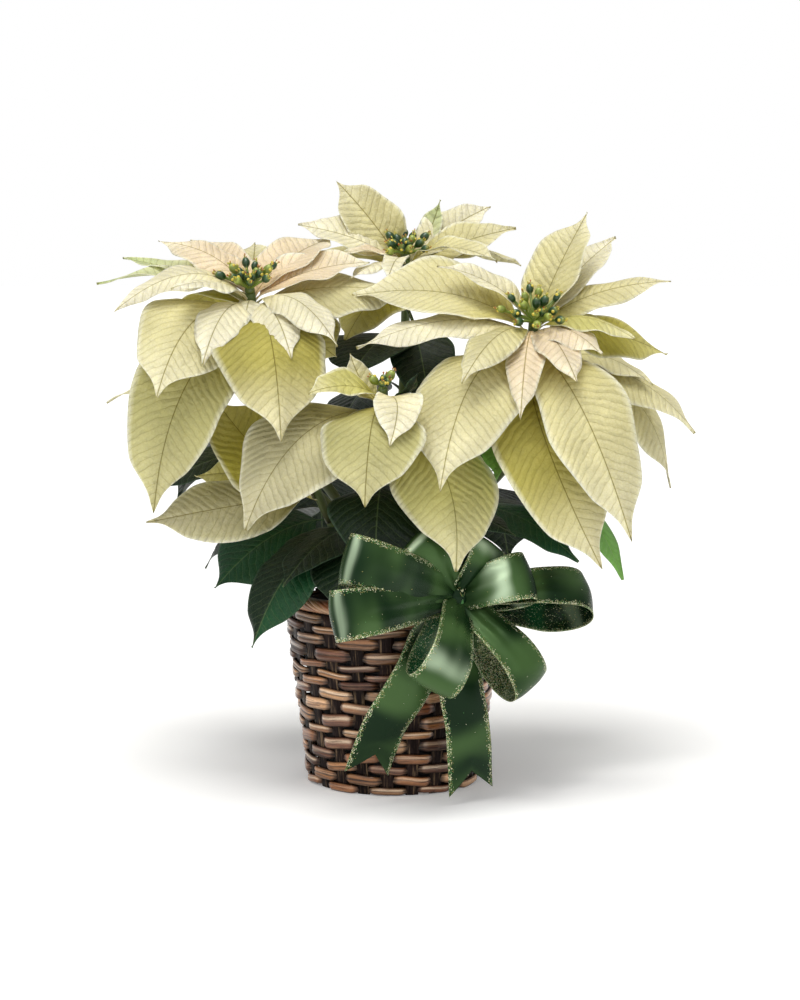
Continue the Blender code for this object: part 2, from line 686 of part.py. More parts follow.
def soil_block():
    """The soil fills the pot to a low mound, with a plain hole for the main stem."""
    floor = BASE_THICK + GAP + POT_WALL + GAP
    lip = POT_TOP - POT_LIP_HEIGHT
    inset = POT_WALL + GAP

    def pot_inside(height):
        share = (height - BASE_THICK - GAP) / (lip - BASE_THICK - GAP)
        return POT_FOOT + (POT_MOUTH - POT_FOOT) * share - inset

    hole = MAIN_STEM_RADIUS + GAP
    top = SOIL_TOP + SOIL_MOUND
    profile = [(0.0, floor), (pot_inside(floor), floor), (pot_inside(SOIL_TOP), SOIL_TOP)]
    profile += [(radius, SOIL_TOP + rise) for radius, rise in MOUND_RINGS]
    profile += [(hole, top), (hole, top - STEM_HOLE_DEPTH), (0.0, top - STEM_HOLE_DEPTH)]
    points, faces = turned(profile, POT_SIDES)
    inner, outer = LUMPY
    wave_x, wave_y = LUMP_WAVES
    for point in points:
        if inner < math.hypot(point.x, point.y) < outer and point.z > SOIL_TOP:
            point.z += LUMP * math.sin(wave_x * point.x) * math.cos(wave_y * point.y)
    return points, faces


def bow_frame():
    """The bow's middle, the way it faces, and the way to its right."""
    out = Vector((math.cos(BOW_AZIMUTH), math.sin(BOW_AZIMUTH), 0.0))
    return out * PINCH_RADIUS + UP * PINCH_HEIGHT, out, UP.cross(out)


def strip(middles, widths, sides, faces_out):
    """A ribbon strip from its middle line: widths, side directions and facing at each place."""
    rings = []
    for middle, width, side, face in zip(middles, widths, sides, faces_out):
        reach = side * (width / 2.0)
        above = face * (RIBBON_THICK / 2.0)
        rings.append([middle + reach + above, middle + above, middle - reach + above,
                      middle - reach - above, middle - above, middle + reach - above])
    return rings


def loop_solid(loop):
    """One bow loop: out from the pinch and back, narrow where it is gathered."""
    centre, out, right = bow_frame()
    angle, forward = math.radians(loop.angle), math.radians(loop.forward)
    spread = right * math.cos(angle) + UP * math.sin(angle)
    direction = spread * math.cos(forward) + out * math.sin(forward)
    side = out.cross(spread).normalized()
    lift = direction.cross(side)
    turn = math.radians(loop.twist)
    side = side * math.cos(turn) + lift * math.sin(turn)
    lift = direction.cross(side)
    middles, widths = [], []
    for step in range(LOOP_STEPS + 1):
        share = LOOP_CLEAR + (1.0 - 2.0 * LOOP_CLEAR) * step / LOOP_STEPS
        wave = 2.0 * math.pi * share
        open_out = math.sin(math.pi * share)
        reach = loop.length * (1.0 - math.cos(wave)) / 2.0
        height = loop.height * math.sin(wave) * open_out ** LOOP_FLAT
        middles.append(centre + direction * reach + lift * height)
        widths.append(PINCH_WIDTH + (RIBBON_WIDTH - PINCH_WIDTH) * open_out ** loop.gather)
    facing = []
    for i in range(len(middles)):
        ahead = middles[min(i + 1, LOOP_STEPS)] - middles[max(i - 1, 0)]
        facing.append(ahead.cross(side).normalized())
    return blade_faces(strip(middles, widths, [side] * len(middles), facing))


def smooth_path(places, steps):
    """Points on one smooth curve through a few places."""
    path = []
    last = len(places) - 1
    for step in range(steps + 1):
        position = last * step / steps
        i = min(int(position), last - 1)
        t = position - i
        p0, p1, p2, p3 = (places[max(i - 1, 0)], places[i], places[i + 1], places[min(i + 2, last)])
        path.append(p1 + ((p2 - p0) * t + (p0 * 2 - p1 * 5 + p2 * 4 - p3) * t ** 2
                          + (p1 * 3 - p0 - p2 * 3 + p3) * t ** 3) * 0.5)
    return path


def tail_solid(places):
    """One tail of the bow, with a swallowtail cut at its end."""
    centre, out, _ = bow_frame()
    path = smooth_path([centre] + [Vector(p) for p in places], TAIL_STEPS)
    rings = []
    for i, point in enumerate(path):
        along = (path[min(i + 1, TAIL_STEPS)] - path[max(i - 1, 0)]).normalized()
        side = out.cross(along).normalized()
        face = along.cross(side).normalized()
        share = i / TAIL_STEPS
        width = PINCH_WIDTH + (RIBBON_WIDTH - PINCH_WIDTH) * min(1.0, share * TAIL_SPREAD)
        rings += strip([point], [width], [side], [face])
    drop = (path[-1] - path[-2]).normalized() * SWALLOWTAIL
    for corner in (0, 2, 3, 5):
        rings[-1][corner] = rings[-1][corner] + drop / 2.0
    for middle in (1, 4):
        rings[-1][middle] = rings[-1][middle] - drop / 2.0
    return blade_faces(rings)


def bow_solids():
    centre, out, _ = bow_frame()
    radii = (WAIST_RADIUS, WAIST_RADIUS, CORE_RADIUS, CORE_RADIUS, CORE_RADIUS * CORE_NOSE)
    solids = [tube([centre + out * reach for reach in CORE_PLACES], radii, CORE_SIDES)]
    solids += [loop_solid(loop) for loop in LOOPS]
    solids += [tail_solid(places) for places in TAILS]
    return solids


def wire_solids():
    """The tie wire: a ring round the gathered ribbon and a bight round the border."""
    centre, out, right = bow_frame()
    ring_middle = centre - out * WIRE_BEHIND
    ring_radius = WAIST_RADIUS + WIRE_SLACK + WIRE_RADIUS
    rings = []
    for step in range(WIRE_TURN_STEPS):
        turn = 2.0 * math.pi * step / WIRE_TURN_STEPS
        spoke = right * math.cos(turn) + UP * math.sin(turn)
        middle = ring_middle + spoke * ring_radius
        rings.append([middle + WIRE_RADIUS * (spoke * math.cos(a) - out * math.sin(a))
                      for a in (2.0 * math.pi * s / WIRE_SIDES for s in range(WIRE_SIDES))])
    border_middle = MOUTH_RADIUS - WALL / 2.0
    border_height = BASKET_HEIGHT + GAP + BORDER_RADIUS
    clear = BORDER_RADIUS + GAP + WIRE_RADIUS
    route = [(ring_middle.dot(out), PINCH_HEIGHT + ring_radius),
             (PINCH_RADIUS - WIRE_REACH, PINCH_HEIGHT + ring_radius - WIRE_DIP)]
    for degrees in BIGHT_DEGREES:
        turn = math.radians(degrees)
        route.append((border_middle + clear * math.cos(turn), border_height + clear * math.sin(turn)))
    return_out, return_up = BIGHT_RETURN
    route += [(border_middle + clear + return_out, border_height - clear + return_up),
              (ring_middle.dot(out), PINCH_HEIGHT - ring_radius)]
    path = [out * radius + UP * height for radius, height in route]
    bight = tube(path, [WIRE_RADIUS] * len(path), WIRE_SIDES)
    return [closed_loft(rings), bight]


def build():
    clear_scene()
    finish = {name: make_material(name, colour, SATIN if name == "ribbon" else MATT)
              for name, colour in COLOURS.items()}
    add_object("basket_weave", *weave_wall(), finish["wicker"])
    add_object("basket_border", *border_ring(), finish["wicker"])
    add_object("basket_base", *base_disc(), finish["wicker"])
    pot = add_object("grow_pot", *grow_pot(), finish["pot"])
    for index in range(DRAINS):
        cutter = add_object("drain_cutter_%d" % index, *drain_cutter(index))
        cutter.hide_render = True
        cutter.display_type = "WIRE"
        cut = pot.modifiers.new("drain", "BOOLEAN")
        cut.operation = "DIFFERENCE"
        cut.object = cutter
    add_object("soil", *soil_block(), finish["soil"])
    fuse("plant", plant_solids(), finish["plant"])
    for name, bloom in BLOOMS.items():
        fuse("bloom_" + name, bloom_solids(bloom), finish["bract"])
        fuse("cyathia_" + name, cup_solids(bloom), finish["cup"])
    fuse("ribbon_bow", bow_solids(), finish["ribbon"])
    fuse("tie_wire", wire_solids(), finish["wire"])


build()
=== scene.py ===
# %% [markdown]
# # A potted poinsettia in a woven basket
#
# A cream poinsettia stands in a round basket of brown splints, with a green ribbon bow tied to
# the basket's rolled border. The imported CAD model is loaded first: it says where each pot, stem
# and bloom is. This script then builds the surfaces that are seen, in the same frame.
#
# The origin is on the floor under the middle of the basket, +Z is up and -Y is the front. The
# tables are in millimetres, as a maker would measure, and MM turns them into Blender's metres.

# %% Load the frame
import math
import random
from collections import namedtuple

import bmesh
import bpy
import numpy as np
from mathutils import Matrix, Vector


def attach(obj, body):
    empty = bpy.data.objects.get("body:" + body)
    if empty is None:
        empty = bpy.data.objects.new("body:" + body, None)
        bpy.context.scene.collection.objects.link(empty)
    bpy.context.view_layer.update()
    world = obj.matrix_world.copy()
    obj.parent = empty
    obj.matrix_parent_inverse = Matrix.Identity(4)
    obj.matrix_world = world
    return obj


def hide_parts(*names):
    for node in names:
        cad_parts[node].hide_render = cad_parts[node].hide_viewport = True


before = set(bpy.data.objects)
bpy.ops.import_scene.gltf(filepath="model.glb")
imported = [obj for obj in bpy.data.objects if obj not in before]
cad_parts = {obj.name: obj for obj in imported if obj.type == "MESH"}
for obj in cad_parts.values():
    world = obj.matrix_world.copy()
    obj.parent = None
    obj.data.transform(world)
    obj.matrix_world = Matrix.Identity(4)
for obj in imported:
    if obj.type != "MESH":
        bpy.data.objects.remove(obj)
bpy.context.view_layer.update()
MM = 0.001
UP = np.array((0.0, 0.0, 1.0))
print("nodes:", len(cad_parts))

# %% [markdown]
# ## The photographer's view
#
# The plant was photographed from a little above its middle, with a long lens that hardly tapers
# it. The camera could be placed by eye, but an elevation, a distance and a target are easier to
# reason about, and the long focal length on a tall sensor gives the same frame each time.

# %% Camera
VIEW_TARGET = Vector((0.0047, 0.0, 0.220))
VIEW_DISTANCE = 2.2
VIEW_ELEVATION = math.radians(8.0)
FOCAL_LENGTH = 101.5
SENSOR_HEIGHT = 36.0


def add_camera():
    forward = Vector((0.0, math.cos(VIEW_ELEVATION), -math.sin(VIEW_ELEVATION)))
    data = bpy.data.cameras.new("portrait")
    data.lens = FOCAL_LENGTH
    data.sensor_fit = "VERTICAL"
    data.sensor_height = SENSOR_HEIGHT
    camera = bpy.data.objects.new("portrait", data)
    camera.location = VIEW_TARGET - forward * VIEW_DISTANCE
    camera.rotation_euler = forward.to_track_quat("-Z", "Y").to_euler()
    bpy.context.scene.collection.objects.link(camera)
    bpy.context.scene.camera = camera
    return camera


camera = add_camera()
print("camera at", [round(c, 3) for c in camera.location])

# %% [markdown]
# ## Helpers for meshes
#
# Bracts, leaves, ribbons, splints and stems are all rows of points joined by faces. A few
# helpers join such rows, and a builder collects them into a single mesh with its UV map and its
# tint, and turns every face outwards. The tint is a colour attribute, so that each bract or
# splint keeps its own hue while all of them share one material.

# %% Directions and ramps
TURN = 2.0 * math.pi


def unit(v):
    return v / np.maximum(np.linalg.norm(v, axis=-1, keepdims=True), 1e-9)


def ramp(x, low, high):
    """Rises smoothly from 0 at low to 1 at high."""
    share = np.clip((x - low) / (high - low), 0.0, 1.0)
    return share * share * (3.0 - 2.0 * share)


def round_angles(count):
    return TURN * np.arange(count) / count


def outward(angle):
    """The level direction away from the basket's axis at an angle."""
    return np.array((math.cos(angle), math.sin(angle), 0.0))


print("one turn in four:", round_angles(4).round(2))

# %% Faces of grids, sheets and bars
def grid_faces(rows, columns, closed_rows=False, closed_columns=False):
    """Quads over a grid of points that is stored row by row."""
    faces = []
    for row in range(rows if closed_rows else rows - 1):
        below = (row + 1) % rows
        for column in range(columns if closed_columns else columns - 1):
            right = (column + 1) % columns
            faces.append((row * columns + column, row * columns + right,
                          below * columns + right, below * columns + column))
    return faces


def sheet_faces(rows, columns):
    """A thin closed sheet: a grid of upper points, the same grid again below, and a rim."""
    count = rows * columns
    upper = grid_faces(rows, columns)
    lower = [tuple(i + count for i in face[::-1]) for face in upper]
    rim = [row * columns for row in range(rows)]
    rim += [(rows - 1) * columns + column for column in range(1, columns)]
    rim += [row * columns + columns - 1 for row in range(rows - 2, -1, -1)]
    rim += list(range(columns - 2, 0, -1))
    sides = [(i, j, j + count, i + count) for i, j in zip(rim, rim[1:] + rim[:1])]
    return upper + lower + sides


def bar_faces(rings, sides):
    """A bar that is given as rings of points, with a flat cap at each end."""
    last = (rings - 1) * sides
    caps = [tuple(range(sides - 1, -1, -1)), tuple(last + i for i in range(sides))]
    return grid_faces(rings, sides, closed_columns=True) + caps


print("faces of a sheet of 4 by 3 points:", len(sheet_faces(4, 3)))

# %% Mesh builder
class MeshBuilder:
    """Collects grids of points, and makes one object of them."""

    def __init__(self):
        self.points, self.faces, self.uv, self.tint, self.skin = [], [], [], [], []
        self.count = 0

    def add(self, points, faces, uv, tint, skin=0):
        points = np.asarray(points, float).reshape(-1, 3)
        self.points.append(points)
        self.faces += [tuple(i + self.count for i in face) for face in faces]
        self.uv.append(np.broadcast_to(np.asarray(uv, float).reshape(-1, 2), (len(points), 2)))
        self.tint.append(np.broadcast_to(np.asarray(tint, float).reshape(-1, 3),
                                         (len(points), 3)))
        self.skin += [skin] * len(faces)
        self.count += len(points)

    def build(self, name, materials, uv_name="MakerMap"):
        mesh = bpy.data.meshes.new(name)
        points = np.concatenate(self.points) * MM
        mesh.from_pydata(points.tolist(), [], self.faces)
        work = bmesh.new()
        work.from_mesh(mesh)
        bmesh.ops.recalc_face_normals(work, faces=work.faces)
        work.to_mesh(mesh)
        work.free()
        loops = np.zeros(len(mesh.loops), np.int32)
        mesh.loops.foreach_get("vertex_index", loops)
        layer = mesh.uv_layers.new(name=uv_name)
        layer.data.foreach_set("uv", np.concatenate(self.uv)[loops].ravel())
        tint = mesh.color_attributes.new("tint", "FLOAT_COLOR", "POINT")
        colours = np.ones((self.count, 4))
        colours[:, :3] = np.concatenate(self.tint)
        tint.data.foreach_set("color", colours.ravel())
        for material in materials:
            mesh.materials.append(material)
        mesh.polygons.foreach_set("material_index", self.skin)
        mesh.shade_smooth()
        mesh.validate()
        piece = bpy.data.objects.new(name, mesh)
        bpy.context.scene.collection.objects.link(piece)
        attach(piece, "root")
        return piece


print("mesh builder ready")

# %% [markdown]
# ## Helpers for materials
#
# A material here is a Principled shader fed by a few nodes. Wiring them by hand takes three
# lines a link, so a small helper makes a node, sets its values and links its inputs at once.
# Effects that several finishes share, such as leaf veins and mottling, become node groups.
# A number that is the same all over a surface is set on the shader itself.

# %% Node helper
class Nodes:
    """Builds the node tree of one material or group."""

    def __init__(self, tree):
        self.tree = tree

    def link(self, source, target):
        self.tree.links.new(source, target)

    def feed(self, socket, value):
        """Links an input to a node's output, or sets the input's own value."""
        if isinstance(value, bpy.types.NodeSocket):
            self.link(value, socket)
        elif socket.type == "RGBA":
            socket.default_value = (*value[:3], 1.0)
        else:
            socket.default_value = value

    def add(self, kind, inputs=None, **settings):
        node = self.tree.nodes.new(kind)
        for key, value in settings.items():
            setattr(node, key, value)
        for key, value in (inputs or {}).items():
            self.feed(node.inputs[key], value)
        return node

    def place(self, group, **inputs):
        """Puts a node group into this tree and gives back its outputs."""
        return self.add("ShaderNodeGroup", inputs, node_tree=group).outputs

    def math(self, operation, first, second=0.5):
        return self.add("ShaderNodeMath", {0: first, 1: second}, operation=operation).outputs[0]

    def times(self, first, second):
        return self.math("MULTIPLY", first, second)

    def plus(self, first, second):
        return self.math("ADD", first, second)

    def minus(self, first, second):
        return self.math("SUBTRACT", first, second)

    def mix(self, factor, first, second, blend="MIX"):
        return self.add("ShaderNodeMix", {0: factor, 6: first, 7: second}, data_type="RGBA",
                        blend_type=blend).outputs[2]

    def range(self, value, low, high, to_low=0.0, to_high=1.0):
        return self.add("ShaderNodeMapRange",
                        {0: value, 1: low, 2: high, 3: to_low, 4: to_high},
                        interpolation_type="SMOOTHSTEP").outputs[0]

    def noise(self, place, scale, **values):
        values = {"Vector": place, "Scale": scale, **values}
        return self.add("ShaderNodeTexNoise", values).outputs["Fac"]

    def uv_map(self, name):
        return self.add("ShaderNodeUVMap", uv_map=name).outputs["UV"]

    def tint(self):
        """The colour that each point of the mesh carries."""
        return self.add("ShaderNodeVertexColor", layer_name="tint").outputs["Color"]

    def relief(self, shader, height, strength, distance):
        """Raises and sinks the skin of a shader by a height; the distance is in metres."""
        bump = self.add("ShaderNodeBump",
                        {"Height": height, "Strength": strength, "Distance": distance})
        self.link(bump.outputs[0], shader.inputs["Normal"])


print("node helper ready")

# %% New materials and groups
def new_material(name, **values):
    """A material with a Principled shader; values are set on the shader's own sockets."""
    material = bpy.data.materials.new(name)
    material.use_nodes = True
    nodes = Nodes(material.node_tree)
    shader = material.node_tree.nodes["Principled BSDF"]
    for key, value in values.items():
        nodes.feed(shader.inputs[key.replace("_", " ")], value)
    return material, nodes, shader


def new_group(name, inputs, outputs):
    """A shader node group with named sockets: inputs as {name: default}, outputs as names."""
    group = bpy.data.node_groups.new(name, "ShaderNodeTree")
    for key, value in inputs.items():
        kind = "NodeSocketColor" if key == "Color" else "NodeSocketFloat"
        socket = group.interface.new_socket(key, in_out="INPUT", socket_type=kind)
        socket.default_value = value
    for key in outputs:
        kind = "NodeSocketColor" if key == "Color" else "NodeSocketFloat"
        group.interface.new_socket(key, in_out="OUTPUT", socket_type=kind)
    nodes = Nodes(group)
    return group, nodes, nodes.add("NodeGroupInput").outputs, nodes.add("NodeGroupOutput").inputs


print("material helpers ready")

# %% [markdown]
# ## Shared effect: mottling
#
# Nothing that grew, or was stained by hand, is one even colour. This group takes a colour and
# drifts it a little lighter and darker in soft blotches and in fine specks. Both are counted
# along a metre of the object, so that the specks keep their real size on each material.

# %% Mottle group
BLOTCH_SHARE = 0.65
SPECK_SHARE = 0.35
MOTTLE_SWING = 4.0        # how much brighter the lightest spot gets, for an amount of 1


def make_mottle():
    group, nodes, given, out = new_group(
        "mottle", {"Color": (0.8, 0.8, 0.8, 1.0), "Blotch": 60.0, "Speck": 700.0,
                   "Amount": 0.15}, ["Color", "Height"])
    place = nodes.add("ShaderNodeTexCoord").outputs["Object"]
    blotch = nodes.noise(place, given["Blotch"], Detail=3.0)
    speck = nodes.noise(place, given["Speck"], Detail=2.0)
    both = nodes.plus(nodes.times(blotch, BLOTCH_SHARE), nodes.times(speck, SPECK_SHARE))
    swing = nodes.times(nodes.minus(both, 0.5), given["Amount"])
    bright = nodes.plus(nodes.times(swing, MOTTLE_SWING), 1.0)
    tone = nodes.add("ShaderNodeHueSaturation", {"Value": bright, "Color": given["Color"]})
    nodes.link(tone.outputs["Color"], out["Color"])
    nodes.link(both, out["Height"])
    return group


mottle = make_mottle()


def mottled(nodes, shader, colour, blotch, speck, amount):
    """Gives a shader its mottled colour, and gives back the height of the mottling."""
    spots = nodes.place(mottle, Color=colour, Blotch=blotch, Speck=speck, Amount=amount)
    nodes.link(spots["Color"], shader.inputs["Base Color"])
    return spots["Height"]


print("group:", mottle.name)

# %% [markdown]
# ## Shared effect: leaf veins
#
# A poinsettia's blade has one midrib and pairs of side veins that leave it on a slant and bend
# towards the tip, with a fine net between them. Each blade's UV map holds real distances: U runs
# across from the midrib and V along it, at 100 mm to one unit. Drawing the veins in those
# distances keeps them the same width on a small bract as on a large leaf.

# %% Vein group
VEIN_SPACING = 7.0        # millimetres along the midrib from one side vein to the next
VEIN_SLANT = 0.62         # how far along a vein has run for each millimetre across
VEIN_BEND = 0.0045        # how much more it slants further out
VEIN_WANDER = 7.0         # millimetres by which noise pushes a vein to and fro
NET_CELLS = 46.0          # cells of the fine net to one unit of the UV map
UV_UNIT = 100.0           # millimetres to one unit of a blade's UV map


def make_veins():
    group, nodes, given, out = new_group(
        "blade_veins", {"Width": 0.5, "Net": 0.5}, ["Midrib", "Side", "Net", "Height"])
    place = nodes.uv_map("BladeMap")
    split = nodes.add("ShaderNodeSeparateXYZ", {0: place}).outputs
    across = nodes.times(nodes.math("ABSOLUTE", nodes.minus(split[0], 0.5)), UV_UNIT)
    along = nodes.times(split[1], UV_UNIT)
    lean = nodes.plus(nodes.times(across, VEIN_SLANT),
                      nodes.times(nodes.times(across, across), VEIN_BEND))
    step = nodes.plus(nodes.minus(along, lean), nodes.times(nodes.noise(place, 7.0), VEIN_WANDER))
    phase = nodes.math("FRACT", nodes.math("DIVIDE", step, VEIN_SPACING))
    off = nodes.minus(0.5, nodes.math("ABSOLUTE", nodes.minus(phase, 0.5)))
    side = nodes.range(nodes.times(off, VEIN_SPACING), 0.0, nodes.times(given["Width"], 1.7),
                       1.0, 0.0)
    midrib = nodes.range(across, 0.15, nodes.times(given["Width"], 2.6), 1.0, 0.0)
    cells = nodes.add("ShaderNodeTexVoronoi", {"Vector": place, "Scale": NET_CELLS},
                      feature="DISTANCE_TO_EDGE").outputs["Distance"]
    net = nodes.times(nodes.range(cells, 0.0, 0.12, 1.0, 0.0), given["Net"])
    for vein, name in ((midrib, "Midrib"), (side, "Side"), (net, "Net")):
        nodes.link(vein, out[name])
    low = nodes.math("MAXIMUM", midrib, nodes.math("MAXIMUM", side, nodes.times(net, 0.35)))
    swell = nodes.times(nodes.minus(1.0, nodes.math("COSINE", nodes.times(phase, TURN))), 0.5)
    crease = nodes.noise(place, 16.0, Detail=3.0, Distortion=0.6)
    height = nodes.minus(nodes.times(swell, 0.42), nodes.times(low, 0.30))
    nodes.link(nodes.plus(height, nodes.times(crease, 1.3)), out["Height"])
    return group


blade_veins = make_veins()


def draw_veins(nodes, veins, colour, strokes):
    """Mixes colours in along the veins: a stroke is a kind of vein, its strength and colour."""
    for kind, strength, ink in strokes:
        colour = nodes.mix(nodes.times(veins[kind], strength), colour, ink)
    return colour


print("group:", blade_veins.name)

# %% [markdown]
# ## The bracts' finish
#
# What looks like a poinsettia's petals are bracts: thin, matte leaves that have lost their
# green. They are cream where the light falls on them and olive near their roots, with darker
# yellow midribs and pale edges. The hue along each bract comes from its tint; the material adds
# the veins, the mottling and a little light that passes through the thin blade.

# %% Bract material
def make_bract_skin():
    material, nodes, shader = new_material(
        "bract_skin", Roughness=0.55, Subsurface_Weight=0.15, Subsurface_Scale=0.002,
        Subsurface_Radius=(1.0, 0.9, 0.35), Specular_IOR_Level=0.3)
    tint = nodes.tint()
    veins = nodes.place(blade_veins, Width=0.24, Net=0.9)
    deep = nodes.mix(1.0, tint, (0.78, 0.72, 0.46), "MULTIPLY")
    rib = nodes.mix(1.0, tint, (0.42, 0.38, 0.16), "MULTIPLY")
    colour = draw_veins(nodes, veins, tint,
                        (("Net", 0.26, deep), ("Side", 0.42, deep), ("Midrib", 0.85, rib)))
    mottled(nodes, shader, colour, 55.0, 620.0, 0.12)
    nodes.relief(shader, veins["Height"], 1.0, 0.0016)
    return material


bract_skin = make_bract_skin()
print("material:", bract_skin.name)

# %% [markdown]
# ## The leaves' and the stems' finish
#
# True leaves are thicker and waxy, so they are dark with a broad sheen, and their veins are
# lighter than the blade. The stems are the same green gone brown, with a dull bark-like skin.

# %% Leaf and stem materials
def make_leaf_skin():
    material, nodes, shader = new_material("leaf_skin", Coat_Weight=0.08, Coat_Roughness=0.3,
                                           Specular_IOR_Level=0.22)
    tint = nodes.tint()
    veins = nodes.place(blade_veins, Width=0.36, Net=0.7)
    pale = nodes.mix(0.35, tint, (0.30, 0.42, 0.16))
    colour = draw_veins(nodes, veins, tint,
                        (("Net", 0.18, pale), ("Side", 0.28, pale), ("Midrib", 0.6, pale)))
    height = mottled(nodes, shader, colour, 45.0, 500.0, 0.18)
    nodes.link(nodes.range(height, 0.3, 0.7, 0.34, 0.52), shader.inputs["Roughness"])
    nodes.relief(shader, veins["Height"], 0.8, 0.0011)
    return material


def make_stem_skin():
    material, nodes, shader = new_material("stem_skin", Roughness=0.5)
    height = mottled(nodes, shader, nodes.tint(), 90.0, 900.0, 0.3)
    nodes.relief(shader, height, 0.4, 0.0006)
    return material


leaf_skin = make_leaf_skin()
stem_skin = make_stem_skin()
print("materials:", leaf_skin.name, stem_skin.name)

# %% [markdown]
# ## How a blade is shaped
#
# A bract or leaf starts as a rib: the straight line from its root to its tip, arched up and
# bowed to one side. The blade spreads from the rib by an oval outline, rolls and folds a little,
# and its edge ripples. Between two side veins the skin puffs up like a quilt. All of this could
# be sculpted, but a rule with a few numbers for each blade makes seventy of them alike in kind
# and different in detail. Each blade is a thin closed solid with two faces and a rim.

# %% Rib and outline of a blade
STALK_WIDTH = 2.6
WIDEST = (0.80, 0.95)     # powers of the outline's oval, by the root and by the tip
TIP_PINCH = 0.55          # how much the last fifth narrows, to a drawn-out point
EARLY = 0.8               # power that brings the arch's crest nearer to the root
ROLL_IN = 0.3             # share of the length over which a blade takes up its roll
FOLD_IN = 0.2             # and its fold
SLOPE_STEP = 0.02         # share of the length over which the rib's slope is measured
SCALLOP = 0.035           # how much the outline swings in and out
CORNER_AT = 0.42          # where along a blade its two soft corners are
CORNER_LONG = 0.16
LEAST_HALF = 0.12
Quilt = namedtuple("Quilt", "puff ripple waves corner")


def rib_points(root, tip, arch, side, t):
    chord = tip - root
    heading = unit(np.array((chord[0], chord[1], 0.0)))
    left = np.cross(UP, heading)
    lift = np.cross(unit(chord), left)
    early = np.clip(t, 0.0, 1.0) ** EARLY
    bump = (4.0 * early * (1.0 - early))[:, None]
    return root + chord * t[:, None] + lift * arch * bump + left * side * bump, left


def rolled_rib(root, tip, arch, side, roll, t):
    """The rib, and at each of its points the ways across the blade and up from it."""
    before, left = rib_points(root, tip, arch, side, np.maximum(0.0, t - SLOPE_STEP))
    after, left = rib_points(root, tip, arch, side, np.minimum(1.0, t + SLOPE_STEP))
    rib, left = rib_points(root, tip, arch, side, t)
    tangent = unit(after - before)
    flat = unit(left - tangent * (tangent @ left)[:, None])
    face = np.cross(tangent, flat)
    turn = (math.radians(roll) * np.minimum(1.0, t / ROLL_IN))[:, None]
    return (rib, flat * np.cos(turn) + face * np.sin(turn),
            face * np.cos(turn) - flat * np.sin(turn))


def half_width(t, width, stalk):
    share = np.clip((t - stalk) / (1.0 - stalk), 0.0, 1.0)
    by_root, by_tip = WIDEST
    crest = by_root / (by_root + by_tip)
    peak = crest ** by_root * (1.0 - crest) ** by_tip
    oval = share ** by_root * (1.0 - share) ** by_tip / peak * width / 2.0
    return oval * (1.0 - TIP_PINCH * ramp(share, 0.78, 0.95))


def half_reach(t, width, stalk, corner, sign, twist):
    """How far one half of a blade reaches from its rib, with a wavy outline and a corner."""
    scallop = 1.0 + SCALLOP * np.sin(5.0 * math.pi * t + twist)
    off = np.abs(t - CORNER_AT - 0.1 * sign * math.sin(twist))
    bulge = corner * np.maximum(0.0, 1.0 - off / CORNER_LONG)
    thin = STALK_WIDTH / 2.0 * (1.0 - ramp(t, stalk * 0.6, stalk + 0.5))
    reach = half_width(t, width, stalk) * (scallop + bulge)
    return np.maximum(reach, thin) + LEAST_HALF


print("rib and outline ready")

# %% Quilted skin and solid of a blade
SKIN = 0.42               # thickness of a blade
STALK_SKIN = 1.8          # thickness of its stalk
STALK_THINS = 0.12        # share of the length over which the one thins to the other
ROW_PITCH = 2.1           # millimetres between rows of points
COLUMN_PITCH = 5.0


def quilt_height(across, along, half, puff):
    """How far the skin stands up between its side veins, and sinks along the midrib."""
    step = along - across * VEIN_SLANT - across * across * VEIN_BEND
    swell = np.abs(np.sin(math.pi * step / VEIN_SPACING)) ** 0.7
    calm = np.clip(half / 14.0, 0.0, 1.0) * (1.0 - (across / np.maximum(half, 1.0)) ** 4)
    groove = np.exp(-(across / 1.6) ** 2)
    return puff * (swell * calm * (1.0 - groove) - 0.55 * groove * np.clip(half / 8.0, 0.0, 1.0))


